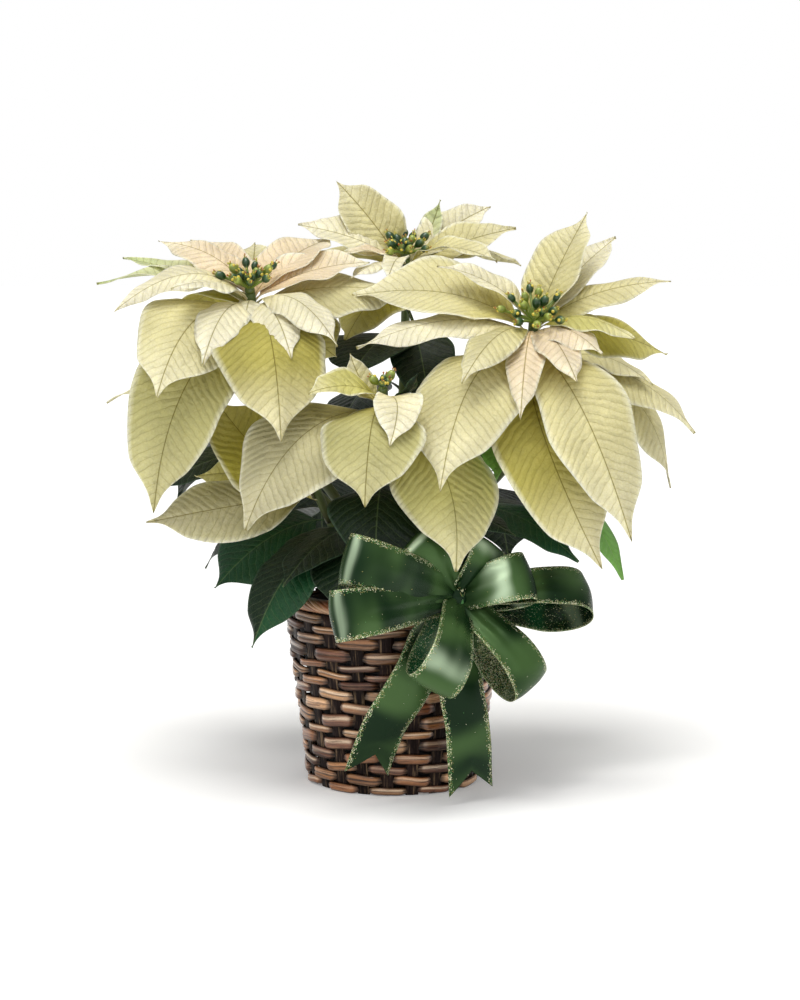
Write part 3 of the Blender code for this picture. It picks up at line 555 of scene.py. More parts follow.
def blade_solid(root, tip, width, arch, side, roll, fold, stalk, quilt, rng):
    """The points, faces and UV of one blade, and how far along and across each point is."""
    root, tip = np.array(root, float), np.array(tip, float)
    length = np.linalg.norm(tip - root)
    rows = int(np.clip(length / ROW_PITCH, 16, 64)) + 1
    columns = 2 * int(np.clip(width / COLUMN_PITCH, 5, 15)) + 1
    t = np.linspace(0.0, 1.0, rows) ** 0.96
    a = np.linspace(1.0, -1.0, columns)[None, :]
    rib, flat, face = rolled_rib(root, tip, arch, side, roll, t)
    phase = [rng.uniform(0.0, TURN) for _ in range(4)]
    half = np.where(a >= 0.0,
                    half_reach(t, width, stalk, quilt.corner, 1.0, phase[0])[:, None],
                    half_reach(t, width, stalk, quilt.corner, -1.0, phase[1])[:, None])
    across = np.abs(a) * half
    along = (t * length)[:, None] * np.ones_like(across)
    bend = (math.radians(fold) * np.minimum(1.0, t / FOLD_IN))[:, None]
    live = ramp(t, stalk, stalk + 0.25)[:, None]
    edge = np.where(a >= 0.0, np.sin(TURN * quilt.waves * t + phase[2])[:, None],
                    np.sin(TURN * quilt.waves * 1.13 * t + phase[3])[:, None])
    lift = (np.abs(a) ** 1.35 * half * np.sin(bend)
            + quilt.ripple * np.abs(a) ** 2.4 * edge * live
            + quilt_height(across, along, half, quilt.puff) * live)
    middle = (rib[:, None, :] + flat[:, None, :] * (a * half * np.cos(bend))[..., None]
              + face[:, None, :] * lift[..., None])
    normal = unit(np.cross(np.gradient(middle, axis=0), np.gradient(middle, axis=1)))
    normal *= np.sign(np.sum(normal * face[:, None, :], axis=-1, keepdims=True) + 1e-9)
    thick = SKIN + (STALK_SKIN - SKIN) * np.maximum(0.0, 1.0 - t / STALK_THINS)
    thick = (thick[:, None] * (1.0 - 0.45 * np.abs(a) ** 3) / 2.0)[..., None]
    points = np.concatenate([(middle + normal * thick).reshape(-1, 3),
                             (middle - normal * thick).reshape(-1, 3)])
    uv = np.stack([0.5 + np.sign(a) * across / UV_UNIT, along / UV_UNIT], axis=-1)
    uv = np.tile(uv.reshape(-1, 2), (2, 1))
    where = (np.tile(t[:, None] * np.ones_like(across), (2, 1)).ravel(),
             np.tile(a * np.ones_like(across), (2, 1)).ravel())
    return points, sheet_faces(rows, columns), uv, where


print("blade solid ready")

# %% [markdown]
# ## Hues of the blades
#
# The seventy-odd bracts share a handful of hues. Each hue is three colours, at the root, in the
# middle and at the tip, and the blade runs smoothly from one to the next. The olive roots are
# partly the bracts' own green and partly painted shade, and the hues s and e are copies of straw
# and cream with painted shade. A plus or a minus after the letter marks a blade with painted light
# on one half, the left or the right one, and on a bract painted shade on the other. Edges are
# paler, partly the bract's own margin and partly a painted highlight.

# %% Hues
HUES = {
    "c": ((0.42, 0.36, 0.05), (0.70, 0.64, 0.34), (0.78, 0.73, 0.49)),    # cream
    "w": ((0.70, 0.61, 0.28), (0.86, 0.80, 0.55), (0.90, 0.85, 0.66)),    # ivory
    "o": ((0.28, 0.24, 0.014), (0.44, 0.39, 0.060), (0.61, 0.56, 0.22)),  # olive
    "y": ((0.32, 0.28, 0.020), (0.60, 0.56, 0.19), (0.76, 0.71, 0.41)),   # straw
    "s": ((0.28, 0.24, 0.020), (0.50, 0.47, 0.20), (0.60, 0.56, 0.30)),   # straw in shade
    "r": ((0.27, 0.23, 0.012), (0.44, 0.39, 0.09), (0.78, 0.72, 0.46)),   # olive to cream
    "e": ((0.34, 0.29, 0.06), (0.54, 0.50, 0.29), (0.58, 0.54, 0.35)),    # grey cream: cream with painted shade
    "p": ((0.80, 0.57, 0.32), (0.86, 0.70, 0.48), (0.88, 0.80, 0.60)),    # blush
    "g": ((0.55, 0.57, 0.25), (0.70, 0.72, 0.42), (0.50, 0.58, 0.28)),    # green-tipped
    "d": ((0.006, 0.018, 0.004), (0.003, 0.016, 0.005), (0.002, 0.013, 0.004)),   # dark leaf
    "m": ((0.012, 0.050, 0.014), (0.008, 0.060, 0.020), (0.007, 0.050, 0.018)),   # green leaf
    "b": ((0.10, 0.22, 0.03), (0.13, 0.33, 0.05), (0.16, 0.36, 0.07)),    # young leaf
}
# EDGE_LIGHT is partly a bract's own pale margin and partly a painted highlight.
EDGE_LIGHT = (0.95, 0.93, 0.74)
LEAF_EDGE = (0.06, 0.12, 0.06)
# Painted light and painted shade on the two halves of a blade marked with a plus or a minus.
LIT_HALF = 1.14           # how much the painted light lifts the lit half of a marked bract
SHADE_HALF = 0.90


def edged(colour, a, start, strength, edge):
    """Mixes another colour in from near a blade's edge outwards."""
    rim = ramp(np.abs(a), start, 1.0)[:, None] * strength
    return colour + (np.array(edge) - colour) * rim


def blade_tint(hue, where, rng):
    """The colour of each point of a blade, from its hue and how far along and across it is."""
    t, a = where
    root, middle, tip = (np.array(colour) for colour in HUES[hue[0]])
    # The darker olive root is partly the blade's own green and partly painted shade.
    colour = root + (middle - root) * ramp(t, 0.02, 0.50)[:, None]
    colour = colour + (tip - colour) * ramp(t, 0.55, 1.0)[:, None]
    # Painted light on one half of a marked blade: on a dark leaf that half takes the lighter green
    # of hue m, and on a bract it is lightened while the other half gets painted shade.
    lit = ramp(-a if hue[1:] == "-" else a, -0.06, 0.06)[:, None]
    if hue[0] in "dm":
        if len(hue) > 1:
            colour = colour + (np.array(HUES["m"][1]) - colour) * lit
        colour = edged(colour, a, 0.92, 0.5, LEAF_EDGE)
    elif hue[0] != "b":
        # The pale edge: partly the bract's own margin, partly a painted highlight.
        colour = edged(colour, a, 0.87, 0.75, EDGE_LIGHT)
        if len(hue) > 1:
            colour = colour * (SHADE_HALF + (LIT_HALF - SHADE_HALF) * lit)
    drift = 1.0 + rng.uniform(-0.05, 0.05)
    turn = rng.uniform(0.0, TURN)
    patch = 1.0 + 0.12 * np.sin(5.0 * t + 1.8 * a + turn) * np.cos(3.2 * a - 2.0 * t + turn)
    return np.clip(colour * drift * patch[:, None], 0.0, 0.96)


print("hues:", " ".join(HUES))

# %% [markdown]
# ## The blooms
#
# Each bloom is a rosette: its bracts leave the top of a stem, the smallest and highest inside,
# the largest and lowest outside. A row of the table is one bract: its tip, its width, how far
# below the top it is joined, how far it arches and bows, its roll and fold, and its hue. The
# tips were placed one by one from the front, and the ones behind by how the plant grows.

# %% Table of the blooms
Bract = namedtuple("Bract", "tip width drop arch side roll fold hue")
Bloom = namedtuple("Bloom", "top axis bracts")
BLOOMS = {
    "left": Bloom((-110, -20, 383), (-0.10, -0.35, 0.93), [
        Bract((-176, -95, 310), 80, 16, 26, -4, -28, -12, "c"),
        Bract((-182, -62, 219), 74, 28, 34, 12, -45, 9, "s"),
        Bract((-83, -112, 279), 86, 22, 34, 0, 0, -12, "r"),
        Bract((-42, -78, 347), 40, 12, 20, 0, 14, -15, "w"),
        Bract((12, 2, 380), 66, 15, 12, 0, 25, -12, "c"),
        Bract((-44, -26, 334), 94, 22, 6, 0, 35, -9, "o"),
        Bract((-19, 22, 404), 52, 9, 9, 0, 20, 12, "p"),
        Bract((-48, 66, 421), 46, 8, 10, 0, 10, 12, "p"),
        Bract((-110, 62, 416), 36, 9, 7, 0, 0, 12, "c"),
        Bract((-161, 60, 418), 40, 8, 9, 0, -15, 12, "p"),
        Bract((-183, 22, 420), 38, 9, 15, 0, -20, -9, "p"),
        Bract((-212, -42, 370), 36, 10, 26, 0, -25, -9, "w"),
        Bract((-166, -76, 390), 30, 9, 11, 0, -10, -12, "w"),
        Bract((-112, -62, 362), 18, 8, 7, 0, 0, -12, "w"),
        Bract((-142, -90, 334), 38, 15, 20, 0, -14, -12, "w"),
        Bract((-76, -86, 338), 36, 14, 17, 0, 12, -12, "w"),
        Bract((-176, 84, 344), 56, 24, 28, 0, 0, -9, "o"),
        Bract((-214, 52, 405), 32, 13, 8, 0, -10, 12, "g"),
        Bract((-232, 24, 387), 32, 17, 18, 0, -10, 12, "g"),
    ]),
    "top": Bloom((9, 60, 405), (0.0, -0.30, 0.95), [
        Bract((-46, 82, 465), 45, 12, 4, 0, -60, 9, "c"),
        Bract((37, 90, 450), 24, 13, -7, 3, 20, 14, "g"),
        Bract((78, 112, 444), 36, 9, 6, 0, 35, 12, "w"),
        Bract((97, 72, 428), 36, 12, 6, 0, 40, 12, "c"),
        Bract((80, 10, 405), 30, 8, 14, 0, 15, 16, "c"),
        Bract((-76, 62, 431), 42, 8, 7, 0, -35, 12, "w"),
        Bract((-40, 28, 411), 20, 6, 6, 0, -15, 14, "p"),
        Bract((-5, 6, 390), 20, 6, 11, 0, 0, 14, "w"),
        Bract((-34, 0, 392), 24, 9, 9, 0, 0, -12, "w"),
        Bract((-38, 18, 343), 64, 26, 12, 0, 0, -9, "o"),
        Bract((18, 178, 384), 62, 23, 34, 0, 0, -9, "c"),
        Bract((-76, 142, 396), 54, 20, 22, 0, 0, -9, "c"),
        Bract((104, 142, 394), 54, 20, 22, 0, 0, -9, "c"),
    ]),
    "right": Bloom((106, -40, 359), (0.05, -0.60, 0.80), [
        Bract((149, 2, 443), 52, 8, 4, 0, 8, 12, "c"),
        Bract((174, 40, 422), 46, 10, 8, 0, 5, 12, "w"),
        Bract((212, -20, 392), 32, 8, 12, 0, 30, -12, "c"),
        Bract((155, -86, 341), 42, 9, 12, 0, 5, -15, "p"),
        Bract((182, -52, 350), 42, 8, 15, 0, 10, -12, "y"),
        Bract((213, 18, 332), 50, 18, 14, 0, 40, -9, "o"),
        Bract((-32, -14, 380), 76, 14, 20, 0, -30, 9, "c"),
        Bract((-28, -62, 344), 46, 11, 17, 0, -20, -12, "w"),
        Bract((50, -121, 323), 38, 8, 17, 0, -10, -15, "c"),
        Bract((34, -134, 245), 86, 24, 32, -4, -10, -12, "c"),
        Bract((93, -124, 297), 28, 6, 17, 0, 0, -12, "p"),
        Bract((135, -112, 323), 34, 8, 13, 0, 0, -12, "p"),
        Bract((33, -22, 404), 28, 4, 12, 0, -20, 12, "w"),
        Bract((177, -106, 204), 64, 24, 38, -24, 38, 9, "c-"),
        Bract((156, -92, 181), 78, 33, 28, -36, 30, 9, "r-"),
    ]),
    "front": Bloom((-8, -75, 312), (0.0, -0.45, 0.89), [
        Bract((-63, -102, 314), 34, 8, 9, 0, -30, 14, "y"),
        Bract((-33, -62, 340), 20, 11, -4, 0, -50, 12, "c"),
        Bract((-3, -134, 278), 38, 6, 13, 8, 0, 20, "w"),
        Bract((-21, -150, 236), 80, 16, 26, 0, 0, -12, "s"),
        Bract((-110, -112, 213), 88, 20, 28, 0, -30, -9, "e"),
        Bract((46, -118, 183), 90, 26, 22, 12, 14, -9, "y"),
        Bract((18, -92, 328), 16, 12, -6, 0, 0, 12, "d"),
    ]),
    "low_left": Bloom((-62, -36, 238), (-0.35, -0.35, 0.87), [
        Bract((-188, -60, 211), 60, 10, 2, 0, -45, -9, "e"),
        Bract((-138, -22, 302), 76, 14, -4, 14, -50, 12, "o"),
        Bract((-156, 20, 236), 60, 12, 10, 0, -50, -9, "o"),
        Bract((-96, -66, 258), 18, 14, -5, 0, 0, 12, "c"),
    ]),
    "back_left": Bloom((-112, 100, 312), (-0.25, 0.35, 0.90), [
        Bract((-232, 90, 286), 58, 18, 22, 0, 0, -12, "c"),
        Bract((-180, 196, 258), 64, 20, 36, 0, 0, -12, "c"),
        Bract((-96, 218, 266), 66, 18, 34, 0, 0, -12, "c"),
        Bract((-186, 152, 316), 42, 12, 8, 0, 0, 9, "c"),
        Bract((-128, 186, 334), 38, 15, 4, 0, 0, 9, "c"),
        Bract((-62, 166, 330), 38, 11, 6, 0, 0, 9, "c"),
        Bract((-180, 82, 320), 34, 10, 6, 0, 0, 9, "c"),
    ]),
    "back_right": Bloom((126, 98, 318), (0.25, 0.35, 0.90), [
        Bract((241, 60, 266), 62, 18, 28, 0, 12, -12, "c"),
        Bract((225, 98, 216), 60, 24, 40, 0, 30, -12, "c"),
        Bract((188, 192, 262), 64, 20, 36, 0, 0, -12, "c"),
        Bract((96, 220, 272), 66, 18, 34, 0, 0, -12, "c"),
        Bract((206, 58, 304), 40, 10, 20, 0, 10, -9, "c"),
        Bract((196, 146, 324), 40, 12, 8, 0, 0, 9, "c"),
        Bract((138, 184, 338), 38, 15, 4, 0, 0, 9, "c"),
        Bract((70, 170, 334), 36, 11, 6, 0, 0, 9, "c"),
    ]),
}
BLOOM_STEM_LENGTH = 36.0
ROOT_REACH = 1.6          # how far from the stem's axis a bract starts
BRACT_STALK = 0.07        # share of a bract's length that is its stalk
WIDE_BRACT = 60.0         # bracts narrower than this are puffed and rippled less
BRACT_QUILT = Quilt(0.72, 2.2, 2.3, 0.10)
print("bracts:", sum(len(bloom.bracts) for bloom in BLOOMS.values()))

# %% [markdown]
# ## Tubes for stems and stalks
#
# A stem is a round tube whose radius changes along its path. A curve object with a bevel would
# do, but a mesh keeps the UV map and the tint that the stem's finish reads. The ring at each
# place is turned as little as possible from the one before, so that the tube never twists.

# %% Tube
def across_frame(direction):
    """Two directions that are square to the given one and to each other."""
    helper = np.array((1.0, 0.0, 0.0)) if abs(direction[0]) < 0.8 else np.array((0.0, 1.0, 0.0))
    first = unit(np.cross(direction, helper))
    return first, np.cross(direction, first)


def tube(path, radii, sides):
    """Points, faces and UV of a closed round tube along a path."""
    path = np.asarray(path, float)
    radii = np.broadcast_to(np.asarray(radii, float), (len(path),))
    ahead = unit(np.gradient(path, axis=0))
    first = across_frame(ahead[0])[0]
    turns = round_angles(sides)[:, None]
    rings = []
    for place, direction, radius in zip(path, ahead, radii):
        first = unit(first - direction * np.dot(first, direction))
        second = np.cross(direction, first)
        rings.append(place + radius * (np.cos(turns) * first + np.sin(turns) * second))
    points = np.concatenate(rings + [path[:1], path[-1:]])
    faces = grid_faces(len(path), sides, closed_columns=True)
    start, end = len(path) * sides, len(path) * sides + 1
    last = (len(path) - 1) * sides
    for i in range(sides):
        j = (i + 1) % sides
        faces.append((start, j, i))
        faces.append((end, last + i, last + j))
    run = np.concatenate([[0.0], np.cumsum(np.linalg.norm(np.diff(path, axis=0), axis=1))])
    uv = [(i / sides, run[row] / UV_UNIT) for row in range(len(path)) for i in range(sides)]
    uv += [(0.5, 0.0), (0.5, run[-1] / UV_UNIT)]
    return points, faces, uv


def tube_tint(path, sides, start, end):
    """Runs from one colour at the start of a tube to another at its end."""
    share = np.linspace(0.0, 1.0, len(path))[:, None, None]
    rings = np.array(start) + (np.array(end) - np.array(start)) * share
    rings = np.broadcast_to(rings, (len(path), sides, 3)).reshape(-1, 3)
    return np.concatenate([rings, [start], [end]])


STEM_GREEN = (0.10, 0.15, 0.035)
STEM_BROWN = (0.060, 0.060, 0.022)
print("tube helper ready")

# %% [markdown]
# ## Making the rosettes
#
# A bloom is one mesh with two finishes, bract and stem. The random numbers that vary its edges
# come from a generator seeded with the bloom's name, so the plant is the same at each run.

# %% Rosettes
STEM_SIDES = 14
NECK_RINGS = 8            # rings of the short stem under a rosette
NECK_RADII = (3.4, 3.9)   # from its foot to its top


def bloom_axis(bloom):
    return unit(np.array(bloom.axis, float)), np.array(bloom.top, float)


def bract_quilt(width, rng):
    """Wide bracts are puffed and rippled more, and no two alike."""
    small = min(1.0, width / WIDE_BRACT)
    puff = BRACT_QUILT.puff * (0.45 + 0.55 * small) * rng.uniform(0.6, 1.4)
    ripple = BRACT_QUILT.ripple * (0.5 + 0.5 * small)
    return Quilt(puff, ripple, BRACT_QUILT.waves, BRACT_QUILT.corner * rng.uniform(0.0, 1.0))


def make_bloom(name, bloom):
    rng = random.Random("bloom " + name)
    axis, top = bloom_axis(bloom)
    builder = MeshBuilder()
    for bract in bloom.bracts:
        heading = np.array(bract.tip, float) - top
        heading = unit(heading - axis * np.dot(heading, axis))
        root = top - axis * bract.drop + heading * ROOT_REACH
        quilt = bract_quilt(bract.width, rng)
        points, faces, uv, where = blade_solid(root, bract.tip, bract.width, bract.arch,
                                               bract.side, bract.roll, bract.fold, BRACT_STALK,
                                               quilt, rng)
        builder.add(points, faces, uv, blade_tint(bract.hue, where, rng))
    path = np.linspace(top - axis * BLOOM_STEM_LENGTH, top, NECK_RINGS)
    points, faces, uv = tube(path, np.linspace(*NECK_RADII, NECK_RINGS), STEM_SIDES)
    builder.add(points, faces, uv, tube_tint(path, STEM_SIDES, STEM_BROWN, STEM_GREEN), skin=1)
    piece = builder.build("rosette_" + name, [bract_skin, stem_skin], "BladeMap")
    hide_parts("bloom_" + name)
    return piece


rosettes = {name: make_bloom(name, bloom) for name, bloom in BLOOMS.items()}
for name, piece in rosettes.items():
    print(piece.name, len(piece.data.polygons), "faces")

# %% [markdown]
# ## The true flowers
#
# A poinsettia's real flowers are the small green cups in the middle of each rosette. Each cup
# stands on a stalk, has a pursed mouth, a yellow nectar gland like a pair of lips on its side,
# and a tuft of short threads with red or yellow tips. The stalks spread like the ribs of a
# half-open umbrella, so a rule with a golden turn between one cup and the next places them.

# %% Cups, glands and threads
CUP_SIDES = 14
CUP_PROFILE = ((-9.4, 0.95), (-8.2, 1.1), (-7.0, 2.0), (-5.6, 2.9), (-4.0, 3.25), (-2.4, 2.95),
               (-1.0, 2.3), (-0.2, 1.9), (0.0, 1.5), (-0.7, 1.0))
CUP_DARK = (0.014, 0.052, 0.012)
CUP_GOLD = (0.20, 0.25, 0.035)
CUP_STALK = (0.22, 0.30, 0.05)
CUP_LIP = (0.12, 0.14, 0.02)
CUP_MOUTH = ((0.30, 0.30, 0.06), (0.20, 0.17, 0.03))
GOLD_SHARE = 0.3          # share of the cups that are golden
STALK_RADIUS = 1.05
STALK_RINGS = 6
GLAND_YELLOW = (0.70, 0.56, 0.07)
THREAD_RED = (0.45, 0.05, 0.02)
THREADS = 5
RED_SHARE = 0.30


def spoke(first, second, angle):
    return first * math.cos(angle) + second * math.sin(angle)


def cup_rings(cup):
    """The colour of each ring of a cup and its stalk, from the foot to inside the mouth."""
    stalk = np.array(CUP_STALK)
    rings = [stalk] * 5 + [(stalk + cup) / 2] * 2 + [cup] * 4
    return rings + [cup * 1.6 + 0.02, cup * 1.2 + np.array(CUP_LIP), *map(np.array, CUP_MOUTH)]


def add_cup(builder, start, direction, length, rng):
    bowl = rng.uniform(0.85, 1.12)
    sway = unit(direction + np.array([rng.uniform(-0.12, 0.12) for _ in range(3)]))
    end = start + sway * length
    middle = start + direction * (length * 0.45) + UP * 0.8
    stalk = [start * (1 - s) ** 2 + middle * 2 * s * (1 - s) + (end - sway * 8.8) * s * s
             for s in np.linspace(0.0, 1.0, STALK_RINGS)]
    path = stalk + [end + sway * reach * bowl for reach, radius in CUP_PROFILE[1:]]
    radii = [STALK_RADIUS] * STALK_RINGS + [radius * bowl for reach, radius in CUP_PROFILE[1:]]
    points, faces, uv = tube(path, radii, CUP_SIDES)
    rings = cup_rings(np.array(CUP_GOLD if rng.random() < GOLD_SHARE else CUP_DARK))
    tint = np.repeat(np.array(rings), CUP_SIDES, axis=0)
    builder.add(points, faces, uv, np.concatenate([tint, [rings[0]], [rings[-1]]]))
    first, second = across_frame(sway)
    out = spoke(first, second, rng.uniform(0.0, TURN))
    seat = end - sway * (2.2 * bowl) + out * (2.5 * bowl)
    bead = [seat + (out * 0.5 + sway * 0.9) * s for s in (-1.3, -0.9, 0.0, 0.9, 1.3)]
    points, faces, uv = tube(bead, (0.35, 1.05, 1.4, 1.05, 0.35), 8)
    builder.add(points, faces, uv, GLAND_YELLOW)
    for _ in range(THREADS):
        side = spoke(first, second, rng.uniform(0.0, TURN))
        base = end - sway * 0.8 + side * 0.5
        head = end + sway * rng.uniform(1.2, 2.6) + side * rng.uniform(0.8, 1.8)
        thread = [base, (base + head) / 2 + side * 0.2, head, head + unit(head - base) * 0.7]
        points, faces, uv = tube(thread, (0.28, 0.24, 0.55, 0.2), 6)
        tip = THREAD_RED if rng.random() < RED_SHARE else GLAND_YELLOW
        builder.add(points, faces, uv, tube_tint(thread, 6, CUP_STALK, tip))


print("rings of a cup:", len(cup_rings(np.array(CUP_DARK))))

# %% True flowers
Cluster = namedtuple("Cluster", "cups reach lean")
CLUSTERS = {
    "left": Cluster(17, (14, 30), (6, 66)), "top": Cluster(15, (13, 28), (16, 72)),
    "right": Cluster(18, (20, 35), (20, 62)), "front": Cluster(5, (10, 18), (14, 52)),
    "low_left": Cluster(3, (9, 14), (14, 48)), "back_left": Cluster(8, (12, 21), (10, 58)),
    "back_right": Cluster(8, (12, 21), (10, 58)),
}
GOLDEN_TURN = 0.618
DOME = ((0.3, 3.6), (1.5, 4.0), (3.2, 3.9), (4.6, 3.0), (5.4, 1.6))     # height, radius


def make_cluster(name, bloom, cluster):
    rng = random.Random("cups " + name)
    axis, top = bloom_axis(bloom)
    first, second = across_frame(axis)
    builder = MeshBuilder()
    points, faces, uv = tube([top + axis * height for height, radius in DOME],
                             [radius for height, radius in DOME], 16)
    builder.add(points, faces, uv, STEM_GREEN)
    near, far = cluster.reach
    upright, spread = cluster.lean
    for i in range(cluster.cups):
        out = spoke(first, second, TURN * i * GOLDEN_TURN + rng.uniform(-0.2, 0.2))
        share = (i + 0.5) / cluster.cups
        lean = math.radians(upright + (spread - upright) * math.sqrt(share))
        direction = unit(axis * math.cos(lean) + out * math.sin(lean) + UP * 0.12)
        add_cup(builder, top + axis * 3.0, direction, near + (far - near) * share, rng)
    piece = builder.build("flowers_" + name, [cup_skin])
    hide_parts("cyathia_" + name)
    return piece


def make_cup_skin():
    material, nodes, shader = new_material("cup_skin", Roughness=0.3, Coat_Weight=0.3,
                                           Coat_Roughness=0.2)
    height = mottled(nodes, shader, nodes.tint(), 200.0, 1500.0, 0.25)
    nodes.relief(shader, height, 0.25, 0.0003)
    return material


cup_skin = make_cup_skin()
flowers = {name: make_cluster(name, BLOOMS[name], CLUSTERS[name]) for name in BLOOMS}
print("flower clusters:", len(flowers))

# %% [markdown]
# ## Stems and leaves
#
# One main stem stands in the soil and branches low down, one branch for each bloom. The leaves
# hang from the branches on stalks, and fill the space between the blooms and the basket. They
# use the blade shape of the bracts with a longer stalk, a flatter quilt and the dark leaf hue.

# %% Table of the branches and leaves
BRANCHES = {
    "left": (150, 26), "top": (166, 6), "right": (156, 24), "front": (160, 16),
    "low_left": (146, 10), "back_left": (154, 26), "back_right": (148, 26),
}
Leaf = namedtuple("Leaf", "branch along tip width arch side roll fold hue")
LEAVES = [
    Leaf("front", 0.34, (-107, -84, 119), 60, 26, -8, -18, -6, "d+"),
    Leaf("left", 0.22, (-138, -34, 156), 86, 22, 0, -28, -6, "m"),
    Leaf("right", 0.25, (142, -42, 178), 58, 22, 0, 10, -6, "m"),
    Leaf("right", 0.45, (178, -24, 161), 56, 30, 0, 10, -6, "b"),
    Leaf("right", 0.72, (76, -102, 250), 38, 8, 0, 0, 6, "b"),
    Leaf("top", 0.74, (-34, -36, 318), 68, 14, 0, 0, 6, "d"),
    Leaf("top", 0.84, (28, -26, 292), 52, 12, 0, 0, 6, "d"),
    Leaf("front", 0.52, (-14, -112, 182), 72, 31, 0, 0, -6, "d"),
    Leaf("front", 0.28, (-46, -100, 150), 66, 24, 0, 0, -6, "d"),
    Leaf("front", 0.20, (-84, -84, 166), 60, 26, 0, 0, -6, "d"),
    Leaf("front", 0.40, (92, -78, 204), 50, 14, 0, 0, -6, "d"),
    Leaf("left", 0.34, (-152, 60, 156), 62, 26, 0, -30, -6, "d"),
    Leaf("back_left", 0.30, (-128, 128, 142), 66, 30, 0, 0, -6, "d"),
    Leaf("back_left", 0.50, (-60, 168, 150), 66, 34, 0, 0, -6, "d"),
    Leaf("top", 0.22, (20, 160, 140), 66, 34, 0, 0, -6, "d"),
    Leaf("back_right", 0.40, (96, 156, 148), 66, 34, 0, 0, -6, "d"),
    Leaf("back_right", 0.30, (148, 100, 168), 66, 30, 0, 0, -6, "d"),
    Leaf("right", 0.16, (156, 40, 180), 58, 24, 0, 0, -6, "d"),
    Leaf("back_left", 0.70, (-178, 120, 200), 54, 30, 0, 0, -6, "d"),
    Leaf("top", 0.50, (36, 172, 236), 58, 26, 0, 0, -6, "d"),
    Leaf("top", 0.58, (-48, 150, 250), 54, 24, 0, 0, -6, "d"),
    Leaf("back_left", 0.58, (-190, 44, 222), 50, 20, 0, -20, -6, "d"),
    Leaf("top", 0.66, (66, -10, 300), 54, 10, 0, 20, 6, "d"),
    Leaf("right", 0.36, (184, 74, 196), 52, 26, 0, 0, -6, "d"),
]
LEAF_STALK = 0.24         # share of a leaf's length that is its stalk
LEAF_QUILT = Quilt(0.8, 1.8, 2.0, 0.06)
BRANCH_END = 6.0          # length of the straight piece that meets the bloom's own stem
BRANCH_PULL = (0.30, 0.45)    # how strongly a branch holds its direction at its two ends
BRANCH_RADII = (4.6, 3.4)
STEM_FOOT = 94.3
STEM_TOP = 172.0
STEM_RADIUS = 6.5
STEM_END_RADIUS = 5.2
BARK = (0.10, 0.075, 0.04)
print("branches:", len(BRANCHES), "leaves:", len(LEAVES))

# %% Stems and leaves
def bezier(p0, p1, p2, p3, t):
    s = 1.0 - t
    return p0 * s ** 3 + p1 * 3.0 * s * s * t + p2 * 3.0 * s * t * t + p3 * t ** 3


def branch_path(name, steps):
    start_height, swell = BRANCHES[name]
    axis, top = bloom_axis(BLOOMS[name])
    end = top - axis * BLOOM_STEM_LENGTH
    start = np.array((0.0, 0.0, start_height))
    outward = unit(np.array((end[0], end[1], 0.0)))
    rise = end[2] - start_height
    low_pull, high_pull = BRANCH_PULL
    first = start + outward * swell + UP * (rise * low_pull)
    second = end - axis * (rise * high_pull)
    curve = [bezier(start, first, second, end - axis * BRANCH_END, i / steps)
             for i in range(steps + 1)]
    return curve + [end]


def along_path(path, share):
    place = share * (len(path) - 1)
    index = min(int(place), len(path) - 2)
    return path[index] + (path[index + 1] - path[index]) * (place - index)


def make_stems():
    builder = MeshBuilder()
    path = [np.array((0.0, 0.0, h)) for h in np.linspace(STEM_FOOT, STEM_TOP, 20)]
    knots = [STEM_RADIUS + 0.25 * math.sin(0.33 * p[2]) for p in path[:-1]] + [STEM_END_RADIUS]
    points, faces, uv = tube(path, knots, 20)
    builder.add(points, faces, uv, tube_tint(path, 20, BARK, STEM_BROWN))
    for name in BRANCHES:
        path = branch_path(name, 26)
        radii = np.linspace(*BRANCH_RADII, len(path)) + 0.15 * np.sin(np.arange(len(path)) * 1.1)
        points, faces, uv = tube(path, radii, STEM_SIDES)
        builder.add(points, faces, uv, tube_tint(path, STEM_SIDES, STEM_BROWN, STEM_GREEN))
    return builder.build("stems", [stem_skin])


def make_leaves():
    rng = random.Random("leaves")
    builder = MeshBuilder()
    paths = {name: branch_path(name, 5) for name in BRANCHES}
    for leaf in LEAVES:
        root = along_path(paths[leaf.branch], leaf.along)
        points, faces, uv, where = blade_solid(root, leaf.tip, leaf.width, leaf.arch, leaf.side,
                                               leaf.roll, leaf.fold, LEAF_STALK, LEAF_QUILT, rng)
        builder.add(points, faces, uv, blade_tint(leaf.hue, where, rng))
    return builder.build("leaves", [leaf_skin], "BladeMap")


stems = make_stems()
leaves = make_leaves()
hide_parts("plant")
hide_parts("plant")
print("stems:", len(stems.data.polygons), "faces; leaves:", len(leaves.data.polygons), "faces")

# %% [markdown]
# ## The splints' finish
#
# The basket is woven from flat splints of split cane, stained brown and varnished. The stain
# lies unevenly, so each float runs from tan to chestnut, with dark hair-thin streaks along the
# grain; the darker edges of each float are painted shade in its tint. The UV map runs along each
# splint, so noise that is stretched in that direction makes the grain; the tint tells one splint
# from the next.

# %% Wicker material
STAIN_DARK = (0.22, 0.15, 0.11)       # multiplies the hue along the dark streaks
STAIN_PALE = (0.66, 0.44, 0.24)


